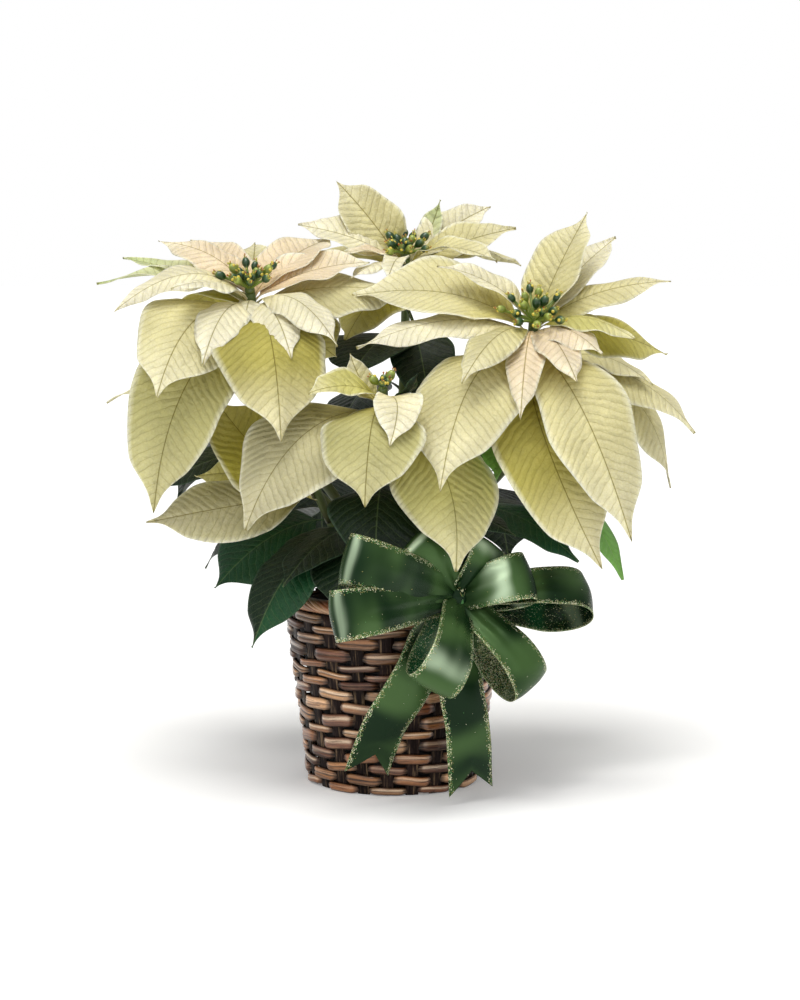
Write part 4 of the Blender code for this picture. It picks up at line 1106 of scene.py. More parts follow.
def make_wicker(name, gloss):
    material, nodes, shader = new_material(name, Coat_Roughness=0.16, Specular_IOR_Level=gloss)
    tint = nodes.tint()
    long_way = nodes.add("ShaderNodeMapping", {"Vector": nodes.uv_map("MakerMap"),
                                               "Scale": (1.2, 5.0, 1.0)}).outputs[0]
    grain = nodes.noise(long_way, 3.0, Detail=5.0, Roughness=0.65)
    streak = nodes.range(grain, 0.49, 0.42)
    bright = nodes.add("ShaderNodeSeparateColor", {0: tint}).outputs[0]
    nodes.link(nodes.range(bright, 0.03, 0.16, 0.0, 0.6), shader.inputs["Coat Weight"])
    dark = nodes.mix(1.0, tint, STAIN_DARK, "MULTIPLY")
    pale = nodes.mix(0.35, tint, STAIN_PALE)
    colour = nodes.mix(nodes.range(grain, 0.52, 0.72), tint, pale)
    colour = nodes.mix(nodes.times(streak, 0.75), colour, dark)
    mottled(nodes, shader, colour, 40.0, 800.0, 0.30)
    nodes.link(nodes.range(grain, 0.3, 0.7, 0.48, 0.26), shader.inputs["Roughness"])
    nodes.relief(shader, grain, 0.6, 0.0005)
    return material


wicker = make_wicker("stained_splint", 0.28)
dull_wicker = make_wicker("dark_stake", 0.06)
print("materials:", wicker.name, dull_wicker.name)

# %% [markdown]
# ## The woven wall
#
# Twenty-two upright stakes stand in a ring, and the weavers go round them: in front of one stake,
# behind the next, and the other way about in the row above. A texture on a smooth wall would
# look flat at its outline, so each weaver is a real band here, which bulges over a stake, dives
# behind the next and narrows where it dives. Its rows aren't all the same height, its floats
# aren't all the same hue, and many are two thin splints side by side with a dark line between.
# The rows under the foliage get painted shade and the lowest rows painted light; each float gets
# painted shade at its edges, on its lower half and behind a stake, and some floats carry a painted
# highlight on the crown.

# %% The wall's measures and a splint's section
BASKET_HEIGHT = 141.0
FOOT_RADIUS = 68.0
MOUTH_RADIUS = 86.0
WALL = 4.6
STAKES = 22
ROWS = 16
BOW_AZIMUTH = math.radians(-61.5)
WEAVE_SWING = 1.9         # from the wall's middle to a float's middle
FLOAT_SHARE = 0.60        # how much longer a float is in front than behind
ROW_FILL = 0.93           # share of a row's height that its weaver fills
WEAVE_STATIONS = 264
SEAT = 0.3                # how far inside the wall's own surface splints and stakes sit
BAND_THICK = 1.5
STAKE_WIDTH = 12.5
STAKE_THICK = 1.4
WICKER_HUES = ((0.39, 0.15, 0.050), (0.50, 0.23, 0.090), (0.20, 0.066, 0.025),
               (0.64, 0.35, 0.17), (0.12, 0.040, 0.017), (0.43, 0.18, 0.060))
PAINTED_GLINT_HUE = (0.86, 0.66, 0.46)     # painted highlight on the upper crown of a float
STAKE_HUE = (0.014, 0.008, 0.007)


def basket_radius(height):
    return FOOT_RADIUS + (MOUTH_RADIUS - FOOT_RADIUS) * height / BASKET_HEIGHT


def row_edges(rng):
    """Heights of the edges between the rows, unevenly spaced from the foot to the border."""
    steps = np.array([rng.uniform(0.66, 1.34) for _ in range(ROWS)])
    edges = np.concatenate([[0.0], np.cumsum(steps)])
    return edges * BASKET_HEIGHT / edges[-1]


def band_section(height, groove):
    """The outline of a splint's section: out from the wall, up, for a flat band with a crown."""
    section = []
    for v in np.linspace(-1.0, 1.0, 9):
        crown = BAND_THICK / 2.0 + 0.55 * (1.0 - v * v) - groove * math.exp(-(v / 0.16) ** 2)
        section.append((crown * (0.35 if abs(v) > 0.99 else 1.0), v * height / 2.0))
    for v in (1.0, 0.5, 0.0, -0.5, -1.0):
        section.append((-BAND_THICK / 2.0 + (0.25 if abs(v) > 0.99 else 0.0), v * height / 2.0))
    return np.array(section)


print("points in a splint's section:", len(band_section(8.0, 0.5)))

# %% Floats of one row
Floats = namedtuple("Floats", "hue rubbed groove tilt bulge slim")


def draw_floats(count, under, rng):
    """What is a float's own: hue, painted highlight on its crown, middle groove, tilt, bulge and
    slimness; under scales the hue and the highlight by the row's painted light and shade.
    """
    hue = [np.array(WICKER_HUES[rng.randrange(len(WICKER_HUES))]) * rng.uniform(0.65, 1.25) * under
           for _ in range(count)]
    # Painted highlight: how strongly the crown of each float is lightened.
    rubbed = [rng.choice((0.0, 0.25, 0.5, 0.8)) * under for _ in range(count)]
    groove = [rng.choice((0.2, 0.6, 0.9, 1.0)) for _ in range(count)]
    tilt = [rng.uniform(-1.1, 1.1) for _ in range(count)]
    bulge = [rng.uniform(-0.4, 0.7) for _ in range(count)]
    slim = [rng.uniform(0.84, 1.0) for _ in range(count)]
    return [Floats(*own) for own in zip(hue, rubbed, groove, tilt, bulge, slim)]


def float_tint(v, front, own):
    """The tint of one section: painted shade at the edges, on the lower half and where it dives
    behind a stake, a dark groove between two splints, and a painted highlight on the crown.
    """
    # Painted shade: darker behind a stake, towards both edges and on the lower half of the
    # section.
    shade = 0.12 + 0.88 * front
    edge = (1.0 - 0.8 * np.abs(v) ** 4) * (1.0 - 0.9 * own.groove * np.exp(
        -(v / 0.13) ** 2)) * (0.50 + 0.50 * ramp(v, -0.9, 0.4))
    # Painted highlight on the upper crown of a float where it faces out.
    painted_glint = own.rubbed * front ** 3 * np.exp(-((v - 0.35) / 0.25) ** 2)
    return own.hue * shade * edge * (1.0 - painted_glint) + np.array(PAINTED_GLINT_HUE) * painted_glint


print("a float's own values:", " ".join(Floats._fields))

# %% Weavers
def make_weave():
    rng = random.Random("weave")
    builder = MeshBuilder()
    edges = row_edges(rng)
    angles = BOW_AZIMUTH + round_angles(WEAVE_STATIONS)
    count = STAKES // 2
    for row in range(ROWS):
        middle = (edges[row] + edges[row + 1]) / 2.0
        tall = (edges[row + 1] - edges[row]) * ROW_FILL
        # Painted shade on the rows under the foliage and painted light on the lowest ones: the
        # hues are scaled from 1.25 below 70 mm to 0.6 at the top.
        under = 1.25 - 0.65 * ramp(middle, 70.0, 138.0)
        floats = draw_floats(count, under, rng)
        turn = count * (angles - BOW_AZIMUTH) + math.pi * row
        wave = np.tanh(2.3 * (np.cos(turn) + FLOAT_SHARE))
        nip = 0.72 + 0.28 * ramp(np.cos(turn), -0.75, 0.0)
        fronts = ramp(np.cos(turn), -0.7, -0.2)
        which = np.floor((turn + math.pi) / TURN).astype(int) % count
        rings, tints = [], []
        for s, angle in enumerate(angles):
            own, front = floats[which[s]], fronts[s]
            high = tall * nip[s] * (1.0 - (1.0 - own.slim) * front)
            section = band_section(high, own.groove * front)
            radius = (basket_radius(middle) - WALL / 2.0 + WEAVE_SWING * wave[s]
                      + own.bulge * front - SEAT)
            lean = math.sin(turn[s]) * own.tilt
            height = np.clip(middle + lean + section[:, 1], 0.15, BASKET_HEIGHT - 0.1)
            rings.append(outward(angle) * (radius + section[:, :1]) + UP * height[:, None])
            tints.append(float_tint(section[:, 1:] / (high / 2.0), front, own))
        sides = len(rings[0])
        run = basket_radius(middle) * round_angles(WEAVE_STATIONS)
        uv = [(run[s] / UV_UNIT, row * 0.7 + 0.06 * i) for s in range(WEAVE_STATIONS)
              for i in range(sides)]
        faces = grid_faces(WEAVE_STATIONS, sides, closed_rows=True, closed_columns=True)
        builder.add(np.concatenate(rings), faces, uv, np.concatenate(tints))
    weave = builder.build("weavers", [wicker])
    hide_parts("basket_weave")
    return weave


weave = make_weave()
print("weavers:", len(weave.data.polygons), "faces")

# %% Stakes
STAKE_SECTION = ((-1.0, -0.5), (-0.5, -1.0), (0.5, -1.0), (1.0, -0.5), (1.0, 0.5), (0.5, 1.0),
                 (0.0, 1.25), (-0.5, 1.0), (-1.0, 0.5))      # across, out


def make_stakes():
    rng = random.Random("stakes")
    builder = MeshBuilder()
    heights = np.linspace(0.2, BASKET_HEIGHT - 0.2, 24)
    sides = len(STAKE_SECTION)
    for stake in range(STAKES):
        out = outward(BOW_AZIMUTH + TURN * stake / STAKES)
        side = np.cross(UP, out)
        rings = []
        for height in heights:
            middle = out * (basket_radius(height) - WALL / 2.0 - SEAT) + UP * height
            wide = STAKE_WIDTH / 2.0 * (0.8 + 0.2 * height / BASKET_HEIGHT)
            rings += [middle + side * wide * u + out * STAKE_THICK / 2.0 * w
                      for u, w in STAKE_SECTION]
        uv = [(height / UV_UNIT, stake + 0.08 * i) for height in heights for i in range(sides)]
        builder.add(rings, bar_faces(len(heights), sides), uv,
                    np.array(STAKE_HUE) * rng.uniform(0.7, 1.6))
    return builder.build("stakes", [dull_wicker])


stakes = make_stakes()
print("stakes:", len(stakes.data.polygons), "faces")

# %% [markdown]
# ## The rolled border and the base
#
# At the top the stakes' ends are bent over and wound into a roll, which shows as flat strands
# that slant across it. Here nine strands wind round a ring, eight turns each, so every strand
# meets its own start again. The base is a disc woven in the same way, seen only from below.

# %% Border
BORDER_RADIUS = 5.6
BORDER_STRANDS = 9
BORDER_TURNS = 8
BORDER_STATIONS = 400
STRAND_DEPTH = 1.5        # how far a strand's middle lies under the border's surface
STRAND_HALF = (1.35, 2.05)    # half its thickness and half its width
CORE_RADIUS = 3.6
GAP = 0.3


def make_border():
    rng = random.Random("border")
    builder = MeshBuilder()
    ring_radius = MOUTH_RADIUS - WALL / 2.0
    middle = BASKET_HEIGHT + GAP + BORDER_RADIUS
    around = BOW_AZIMUTH + round_angles(BORDER_STATIONS)
    thick, half = STRAND_HALF
    run = ring_radius * round_angles(BORDER_STATIONS)
    for strand in range(BORDER_STRANDS):
        hue = np.array(WICKER_HUES[rng.randrange(len(WICKER_HUES))]) * 0.9
        start = TURN * strand / BORDER_STRANDS
        rings, tints = [], []
        for s, angle in enumerate(around):
            turn = start - BORDER_TURNS * angle
            out = outward(angle)
            radial = out * math.cos(turn) + UP * math.sin(turn)
            sideways = UP * math.cos(turn) - out * math.sin(turn)
            centre = out * ring_radius + UP * middle + radial * (BORDER_RADIUS - STRAND_DEPTH)
            wide = half + 0.15 * math.sin(0.31 * s + strand * 2.0)
            rings += [centre + radial * thick * math.cos(q) + sideways * wide * math.sin(q)
                      for q in round_angles(8)]
            tints += [hue * (0.9 + 0.25 * math.sin(0.05 * s + strand))] * 8
        uv = [(place / UV_UNIT, strand + 0.09 * i) for place in run for i in range(8)]
        builder.add(rings, grid_faces(BORDER_STATIONS, 8, closed_rows=True, closed_columns=True),
                    uv, tints)
    core = [outward(angle) * ring_radius + UP * middle
            + CORE_RADIUS * (outward(angle) * math.cos(q) + UP * math.sin(q))
            for angle in around for q in round_angles(10)]
    builder.add(core, grid_faces(BORDER_STATIONS, 10, closed_rows=True, closed_columns=True),
                (0.0, 0.0), STAKE_HUE)
    border = builder.build("border", [wicker])
    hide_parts("basket_border")
    return border


border = make_border()
print("border:", len(border.data.polygons), "faces")

# %% Base
BASE_PITCH = 9.0          # millimetres between the middles of two splints side by side
BASE_RINGS = 60
BASE_SECTION = ((-1, -0.6), (-0.7, -1), (0.7, -1), (1, -0.6), (1, 0.6), (0.7, 1), (-0.7, 1),
                (-1, 0.6))
BASE_HALF = (4.1, 0.65)   # half the width and half the thickness of a splint


def make_base():
    """A disc whose flat splints pass over and under each other, like a chequered mat."""
    rng = random.Random("base")
    builder = MeshBuilder()
    reach = FOOT_RADIUS - WALL - GAP
    wide, thick = BASE_HALF
    for direction in (0, 1):
        for index in range(-7, 8):
            offset = index * BASE_PITCH
            if abs(offset) > reach - 6.0:
                continue
            half = math.sqrt(reach * reach - offset * offset) - 1.0
            along = np.linspace(-half, half, BASE_RINGS)
            points = []
            for place in along:
                wave = math.cos(math.pi * (place / BASE_PITCH + index + direction))
                height = 2.0 + 0.75 * math.tanh(2.0 * wave)
                ring = [(place, offset + u * wide, height + w * thick) for u, w in BASE_SECTION]
                points += [(y, x, z) if direction else (x, y, z) for x, y, z in ring]
            uv = [(place / UV_UNIT, index * 0.7 + 0.1 * i) for place in along for i in range(8)]
            hue = np.array(WICKER_HUES[rng.randrange(len(WICKER_HUES))]) * 0.7
            builder.add(points, bar_faces(BASE_RINGS, 8), uv, hue)
    base = builder.build("base_mat", [wicker])
    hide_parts("basket_base")
    return base


base = make_base()
print("base:", len(base.data.polygons), "faces")

# %% [markdown]
# ## The grow pot and its soil
#
# Inside the basket stands a thin black nursery pot. Hardly any of it shows, so the CAD pot
# with its drain holes stays as it is, and only gets a skin of black plastic. The compost is
# turned from a profile: a low mound with crumbs of peat and a few grains of perlite, which
# show only from above, between the leaves.

# %% Pot
def make_pot_skin():
    material, nodes, shader = new_material("pot_plastic", Roughness=0.55)
    height = mottled(nodes, shader, (0.028, 0.028, 0.030), 30.0, 1800.0, 0.4)
    nodes.relief(shader, height, 0.2, 0.0003)
    return material


pot_skin = make_pot_skin()
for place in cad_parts["grow_pot"].material_slots:
    place.material = pot_skin
print("pot's skin:", pot_skin.name)

# %% Soil
SOIL_PROFILE = ((0.0, 6.2), (52.5, 6.2), (73.0, 127.0), (66.0, 127.6), (58.0, 128.5),
                (47.0, 129.4), (36.0, 130.2), (27.0, 130.8), (18.0, 131.4), (10.0, 131.8),
                (6.9, 131.9), (0.0, 131.5))
SOIL_EDGE = 127.0         # height of the mound at the pot's wall
SOIL_RADIUS = 73.0
MOUND = 4.9
PEAT = (0.045, 0.028, 0.018)
PERLITE = (0.70, 0.68, 0.62)
PERLITE_SHARE = 0.10
CRUMBS = 620
CRUMB_CORNERS = ((0, 0, 1), (0.9, 0, -0.3), (-0.45, 0.8, -0.3), (-0.45, -0.8, -0.3))


def turned(profile, sides):
    """Turns a profile of (radius, height) about the Z axis, with a single point on the axis."""
    points, rows = [], []
    for radius, height in profile:
        if radius == 0.0:
            rows.append([len(points)] * sides)
            points.append((0.0, 0.0, height))
            continue
        rows.append([len(points) + i for i in range(sides)])
        points += [(radius * math.cos(angle), radius * math.sin(angle), height)
                   for angle in round_angles(sides)]
    faces = []
    for low, high in zip(rows, rows[1:]):
        for i in range(sides):
            j = (i + 1) % sides
            faces.append(tuple(dict.fromkeys((low[i], low[j], high[j], high[i]))))
    return np.array(points), faces


def make_soil_skin():
    material, nodes, shader = new_material("peat", Roughness=0.95)
    height = mottled(nodes, shader, nodes.tint(), 120.0, 900.0, 0.9)
    nodes.relief(shader, height, 0.9, 0.0015)
    return material


def add_crumb(builder, rng):
    angle, share = rng.uniform(0.0, TURN), math.sqrt(rng.uniform(0.02, 1.0))
    reach = 9.0 + 63.0 * share
    size = rng.uniform(0.7, 2.3)
    rise = SOIL_EDGE + MOUND * (1.0 - reach / SOIL_RADIUS) + 0.4
    place = np.array((reach * math.cos(angle), reach * math.sin(angle), rise))
    turn = rng.uniform(0.0, 6.28)
    spin = np.array(((math.cos(turn), -math.sin(turn), 0), (math.sin(turn), math.cos(turn), 0),
                     (0, 0, 1)))
    crumb = [place + spin @ (np.array(c) * size * rng.uniform(0.7, 1.2)) for c in CRUMB_CORNERS]
    hue = PERLITE if rng.random() < PERLITE_SHARE else np.array(PEAT) * rng.uniform(0.6, 2.2)
    builder.add(crumb, [(0, 1, 2), (0, 2, 3), (0, 3, 1), (1, 3, 2)], (0.0, 0.0), hue)


def make_soil():
    rng = random.Random("soil")
    builder = MeshBuilder()
    points, faces = turned(SOIL_PROFILE, 72)
    top = points[:, 2] > SOIL_EDGE + 0.2
    lumps = 1.1 * np.sin(0.31 * points[:, 0]) * np.cos(0.27 * points[:, 1])
    points[top, 2] += lumps[top] + np.array([rng.uniform(-0.5, 0.5) for _ in range(top.sum())])
    builder.add(points, faces, (0.0, 0.0), PEAT)
    for _ in range(CRUMBS):
        add_crumb(builder, rng)
    soil = builder.build("potting_soil", [make_soil_skin()])
    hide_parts("soil")
    return soil


soil = make_soil()
print("soil:", len(soil.data.polygons), "faces")

# %% [markdown]
# ## The ribbon's finish
#
# The bow is of green satin ribbon with a wire in each edge and a dusting of gold glitter along
# it. The satin's light stripe where the ribbon bends, right across its width, is a painted
# highlight, and its darkness where it is gathered, along the tails and on the knot is painted
# shade; the tint says how much of each a point has. The glitter is a scatter of flakes, each with
# its own colour and its own tilt. The UV map holds real distances, so U says how near the edge a
# point is.

# %% Glitter group
RIBBON_WIDTH = 38.0
GLITTER_BAND = 0.72       # how far out from the middle the glitter starts, of half the width
FLAKE_SIZE = 190.0        # flakes to one unit of the UV map
FLAKE_GOLD = ((0.34, 0.30, 0.10), (0.86, 0.84, 0.60))
FLAKE_GREEN = (0.07, 0.20, 0.06)


def make_glitter():
    """Flakes: their colour, how much of the surface they cover, and a tilted normal's height."""
    group, nodes, given, out = new_group("glitter", {"Cover": 0.5, "Size": 75.0},
                                         ["Color", "Flakes", "Height"])
    cells = nodes.add("ShaderNodeTexVoronoi", {"Vector": nodes.uv_map("MakerMap"),
                                               "Scale": given["Size"]})
    pick = nodes.add("ShaderNodeSeparateColor", {0: cells.outputs["Color"]}).outputs
    gold = nodes.mix(nodes.range(pick[1], 0.3, 0.7), *FLAKE_GOLD)
    colour = nodes.mix(nodes.range(pick[2], 0.55, 0.60), gold, FLAKE_GREEN)
    nodes.link(colour, out["Color"])
    nodes.link(nodes.math("LESS_THAN", pick[0], given["Cover"]), out["Flakes"])
    nodes.link(pick[1], out["Height"])
    return group


glitter = make_glitter()
print("group:", glitter.name)

# %% Ribbon material
SATIN = ((0.004, 0.021, 0.005), (0.060, 0.122, 0.036))        # from its darkest to its lightest
EMERALD = ((0.006, 0.024, 0.008), (0.002, 0.080, 0.026))      # the same inside the loops
PAINTED_STRIPE = (0.58, 0.74, 0.50)
PAINTED_GATHER_SHADE = (0.004, 0.024, 0.007)


def make_satin():
    material, nodes, shader = new_material("green_satin", Coat_Weight=0.06, Coat_Roughness=0.22,
                                           Specular_IOR_Level=0.14)
    place = nodes.uv_map("MakerMap")
    split = nodes.add("ShaderNodeSeparateXYZ", {0: place}).outputs
    across = nodes.math("ABSOLUTE", nodes.times(nodes.minus(split[0], 0.5),
                                                UV_UNIT * 2.0 / RIBBON_WIDTH))
    inside, tone, strewn = nodes.add("ShaderNodeSeparateColor", {0: nodes.tint()}).outputs[0:3]
    reach = nodes.plus(across, nodes.times(nodes.minus(nodes.noise(place, 22.0), 0.5), 0.34))
    band = nodes.range(reach, GLITTER_BAND, 1.04)
    cover = nodes.math("MAXIMUM", band, nodes.times(strewn, 0.85))
    cover = nodes.times(nodes.math("MAXIMUM", cover, 0.0015), 0.72)
    flakes = nodes.place(glitter, Cover=cover, Size=FLAKE_SIZE)
    threads = nodes.add("ShaderNodeTexWave", {"Vector": place, "Scale": 120.0, "Distortion": 0.6},
                        wave_type="BANDS", bands_direction="Y").outputs["Fac"]
    stretched = nodes.add("ShaderNodeMapping", {"Vector": place, "Scale": (1.2, 3.4, 1.0)})
    drift = nodes.noise(stretched.outputs[0], 1.0, Detail=0.6)
    colour = nodes.mix(nodes.range(drift, 0.34, 0.66), *SATIN)
    emerald = nodes.mix(nodes.range(drift, 0.42, 0.60), *EMERALD)
    colour = nodes.mix(nodes.times(inside, 0.9), colour, emerald)
    # Painted highlight where the tint's tone is low.
    painted_stripe = nodes.times(nodes.range(tone, 0.46, 0.04), nodes.range(drift, 0.30, 0.56, 0.35, 1.0))
    colour = nodes.mix(painted_stripe, colour, PAINTED_STRIPE)
    # Painted shade where the tint's tone is high.
    colour = nodes.mix(nodes.range(tone, 0.5, 1.0, 0.0, 0.85), colour, PAINTED_GATHER_SHADE)
    colour = nodes.mix(flakes["Flakes"], colour, flakes["Color"])
    nodes.link(colour, shader.inputs["Base Color"])
    for name, plain, flake in (("Metallic", 0.25, 0.6), ("Roughness", 0.26, 0.36)):
        nodes.link(nodes.range(flakes["Flakes"], 0.0, 1.0, plain, flake), shader.inputs[name])
    tilt = nodes.times(nodes.times(flakes["Height"], flakes["Flakes"]), 0.8)
    nodes.relief(shader, nodes.plus(nodes.times(threads, 0.10), tilt), 0.5, 0.0004)
    return material


satin = make_satin()
print("material:", satin.name)

# %% [markdown]
# ## The bow
#
# A florist's bow is one length of ribbon, folded into loops that a wire pinches in the middle,
# with its two ends left as tails. Each loop here leaves the pinch, turns over and comes back,
# pleated where it is gathered and open at its end. Cloth simulation could settle the loops, but
# the wire in the ribbon's edges holds whatever bend the florist gave it, so the bend itself is
# what is modelled. The tails are cut to a swallow's tail.

# %% Table of the bow
Loop = namedtuple("Loop", "angle forward length height twist gather")
LOOPS = [
    Loop(159, 10, 112, 21, 6, 0.35), Loop(180, 14, 122, 20, 12, 0.8),
    Loop(232, 30, 82, 22, 8, 0.5), Loop(302, 24, 86, 20, -16, 0.6),
    Loop(355, 6, 108, 27, -42, 0.8), Loop(17, 26, 56, 20, -32, 0.5),
    Loop(124, 4, 60, 14, 0, 0.9), Loop(61, 2, 46, 15, 8, 0.7),
]
STREWN = (0.1, 0.1, 0.3, 1.0, 0.15, 0.1, 0.0, 0.0)     # how much glitter lies inside each loop
TAILS = [
    ((34, -95, 140), (14, -102, 98), (-8, -98, 60), (-18, -93, 32)),
    ((48, -92, 140), (50, -98, 98), (56, -97, 56), (58, -92, 18)),
]
PINCH_RADIUS = 101.0
PINCH_HEIGHT = 159.0
PINCH_WIDTH = 7.0
LOOP_FLAT = 1.5           # how flat a loop lies by the pinch
RIBBON_THICK = 0.5
RIBBON_CROWN = 2.6        # how far its middle bulges past its edges, where it is at full width
EDGE_WIRE = 0.35          # how much thicker the ribbon is over its edge wire
SWALLOWTAIL = 18.0        # depth of the notch in a tail's end
PLEATS = (2.3, 3.0)       # how high the pleats stand, and how many half waves they make
ACROSS = 25               # points across the ribbon
# The direction the painted satin highlight is drawn for, towards the front, up and left: a band
# lies across the ribbon where it bends square to it.
PAINTED_SHEEN_FROM = unit(np.array((-0.30, -0.76, 0.56)))
PAINTED_SHEEN_WIDTH = 0.27        # how broad the painted highlight stripe is, where the ribbon bends
bow_out = np.array((math.cos(BOW_AZIMUTH), math.sin(BOW_AZIMUTH), 0.0))
bow_right = np.cross(UP, bow_out)
bow_centre = bow_out * PINCH_RADIUS + UP * PINCH_HEIGHT
print("loops:", len(LOOPS), "tails:", len(TAILS))

# %% A strip of ribbon
def add_ribbon(builder, middles, widths, sides, facing, start, rng, strewn=0.0, inner=0.0,
               cut=0.0, shade=0.0):
    """One strip of ribbon: pleated where it is narrow, with a wire in each edge."""
    rows = len(middles)
    v = np.linspace(1.0, -1.0, ACROSS)[None, :]
    squeeze = np.clip(1.0 - widths / RIBBON_WIDTH, 0.0, 1.0)[:, None]
    phase = rng.uniform(0.0, 6.28)
    high, waves = PLEATS
    pleat = high * squeeze * np.sin(math.pi * waves * v + phase)
    length = np.concatenate([[0.0], np.cumsum(np.linalg.norm(np.diff(middles, axis=0), axis=1))])
    run = length[:, None]
    crumple = (0.55 * np.sin(run / 9.0 + 2.2 * v + phase) * np.abs(v) ** 1.5
               + 0.35 * np.sin(run / 5.3 - 3.0 * v))
    calm = np.clip(np.minimum(run, length[-1] - run) / 20.0, 0.0, 1.0)
    crown = RIBBON_CROWN * (1.0 - squeeze * RIBBON_WIDTH / (RIBBON_WIDTH - PINCH_WIDTH))
    lift = pleat + crumple * calm * 0.8 + crown * (1.0 - v ** 2)
    spread = v * (widths / 2.0)[:, None]
    middle = (middles[:, None, :] + sides[:, None, :] * spread[..., None]
              + facing[:, None, :] * lift[..., None])
    if cut > 0.0:
        drop = unit(middles[-1] - middles[-2])
        near = ramp(run, length[-1] - 26.0, length[-1])
        middle = middle + drop * ((np.abs(v) - 0.5) * cut * near)[..., None]
    thick = RIBBON_THICK / 2.0 + EDGE_WIRE * np.exp(-((np.abs(v) - 0.96) / 0.035) ** 2)
    normal = unit(np.cross(np.gradient(middle, axis=0), np.gradient(middle, axis=1)))
    normal *= np.sign(np.sum(normal * facing[:, None, :], axis=-1, keepdims=True) + 1e-9)
    points = np.concatenate([(middle + normal * thick[..., None]).reshape(-1, 3),
                             (middle - normal * thick[..., None]).reshape(-1, 3)])
    u = 0.5 + v * (RIBBON_WIDTH / 2.0 / UV_UNIT) * np.ones((rows, 1))
    w = (start + run) / UV_UNIT * np.ones((1, ACROSS))
    uv = np.stack([u, w], axis=-1).reshape(-1, 2)
    # Painted shade where the ribbon is gathered narrow and on strips given a shade; it goes into
    # the tint's tone, which the satin reads.
    dark = np.maximum(squeeze, shade) * np.ones((1, ACROSS))
    # Painted highlight: a band across the ribbon where it bends square to that fixed direction, on
    # the side that faces it.
    bend = np.exp(-(unit(np.gradient(middle, axis=0)) @ PAINTED_SHEEN_FROM / PAINTED_SHEEN_WIDTH) ** 2)
    tint = []
    for sign, red, blue in ((1.0, 0.0, 0.0), (-1.0, inner, strewn)):
        gloss = bend * np.clip(sign * normal @ PAINTED_SHEEN_FROM, 0.0, 1.0) * (1.0 - dark)
        tone = (0.5 + 0.5 * dark - 0.5 * gloss).reshape(-1)
        tint.append(np.stack([np.full_like(tone, red), tone, np.full_like(tone, blue)], axis=-1))
    builder.add(points, [face[::-1] for face in sheet_faces(rows, ACROSS)],
                np.concatenate([uv, uv + (0.0, 7.0)]), np.concatenate(tint))
    return length[-1]


print("the widest and the narrowest ribbon:", RIBBON_WIDTH, PINCH_WIDTH)

# %% Loops and tails
def loop_strip(loop, steps=72):
    angle, forward = math.radians(loop.angle), math.radians(loop.forward)
    spread = bow_right * math.cos(angle) + UP * math.sin(angle)
    direction = spread * math.cos(forward) + bow_out * math.sin(forward)
    side = unit(np.cross(bow_out, spread))
    lift = np.cross(direction, side)
    turn = math.radians(loop.twist)
    side = side * math.cos(turn) + lift * math.sin(turn)
    lift = np.cross(direction, side)
    share = 0.03 + 0.94 * np.linspace(0.0, 1.0, steps + 1)
    open_out = np.sin(math.pi * share)
    reach = loop.length * (1.0 - np.cos(2.0 * math.pi * share)) / 2.0
    height = loop.height * np.sin(2.0 * math.pi * share) * open_out ** LOOP_FLAT
    middles = bow_centre + direction * reach[:, None] + lift * height[:, None]
    widths = PINCH_WIDTH + (RIBBON_WIDTH - PINCH_WIDTH) * open_out ** loop.gather
    sides = np.repeat(side[None, :], steps + 1, axis=0)
    facing = unit(np.cross(np.gradient(middles, axis=0), sides))
    return middles, widths, sides, facing


def smooth_path(places, steps):
    """A curve that passes through every place, bent evenly between them."""
    last = len(places) - 1
    path = []
    for step in range(steps + 1):
        i = min(int(last * step / steps), last - 1)
        t = last * step / steps - i
        p0, p1, p2, p3 = (places[k] for k in (max(i - 1, 0), i, i + 1, min(i + 2, last)))
        path.append(p1 + ((p2 - p0) * t + (2 * p0 - 5 * p1 + 4 * p2 - p3) * t ** 2
                          + (3 * p1 - p0 - 3 * p2 + p3) * t ** 3) * 0.5)
    return np.array(path)


def tail_strip(places, steps=56):
    path = smooth_path([bow_centre] + [np.array(p, float) for p in places], steps)
    tangent = unit(np.gradient(path, axis=0))
    side = unit(np.cross(bow_out, tangent))
    facing = unit(np.cross(tangent, side))
    share = np.linspace(0.0, 1.0, steps + 1)
    widths = PINCH_WIDTH + (RIBBON_WIDTH - PINCH_WIDTH) * np.minimum(1.0, share * 3.0)
    return path, widths, side, facing


print("loop 1 starts at", loop_strip(LOOPS[0])[0][0].round(1))

# %% Bow and knot
KNOT_PROFILE = ((-8.0, 3.6), (-5.5, 3.7), (-4.2, 7.6), (-2.0, 8.9), (1.0, 9.2), (4.0, 8.7),
                (6.0, 7.0), (7.2, 4.2), (7.6, 1.2))       # reach from the pinch, radius


def make_bow():
    rng = random.Random("bow")
    builder = MeshBuilder()
    length = 0.0
    for loop, strewn in zip(LOOPS, STREWN):
        length += add_ribbon(builder, *loop_strip(loop), length, rng, strewn, inner=1.0)
    for places in TAILS:
        # The tails get a little painted shade all along.
        length += add_ribbon(builder, *tail_strip(places), length, rng, cut=SWALLOWTAIL,
                             shade=0.12)
    bow = builder.build("bow_ribbon", [satin])
    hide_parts("ribbon_bow")
    return bow, length


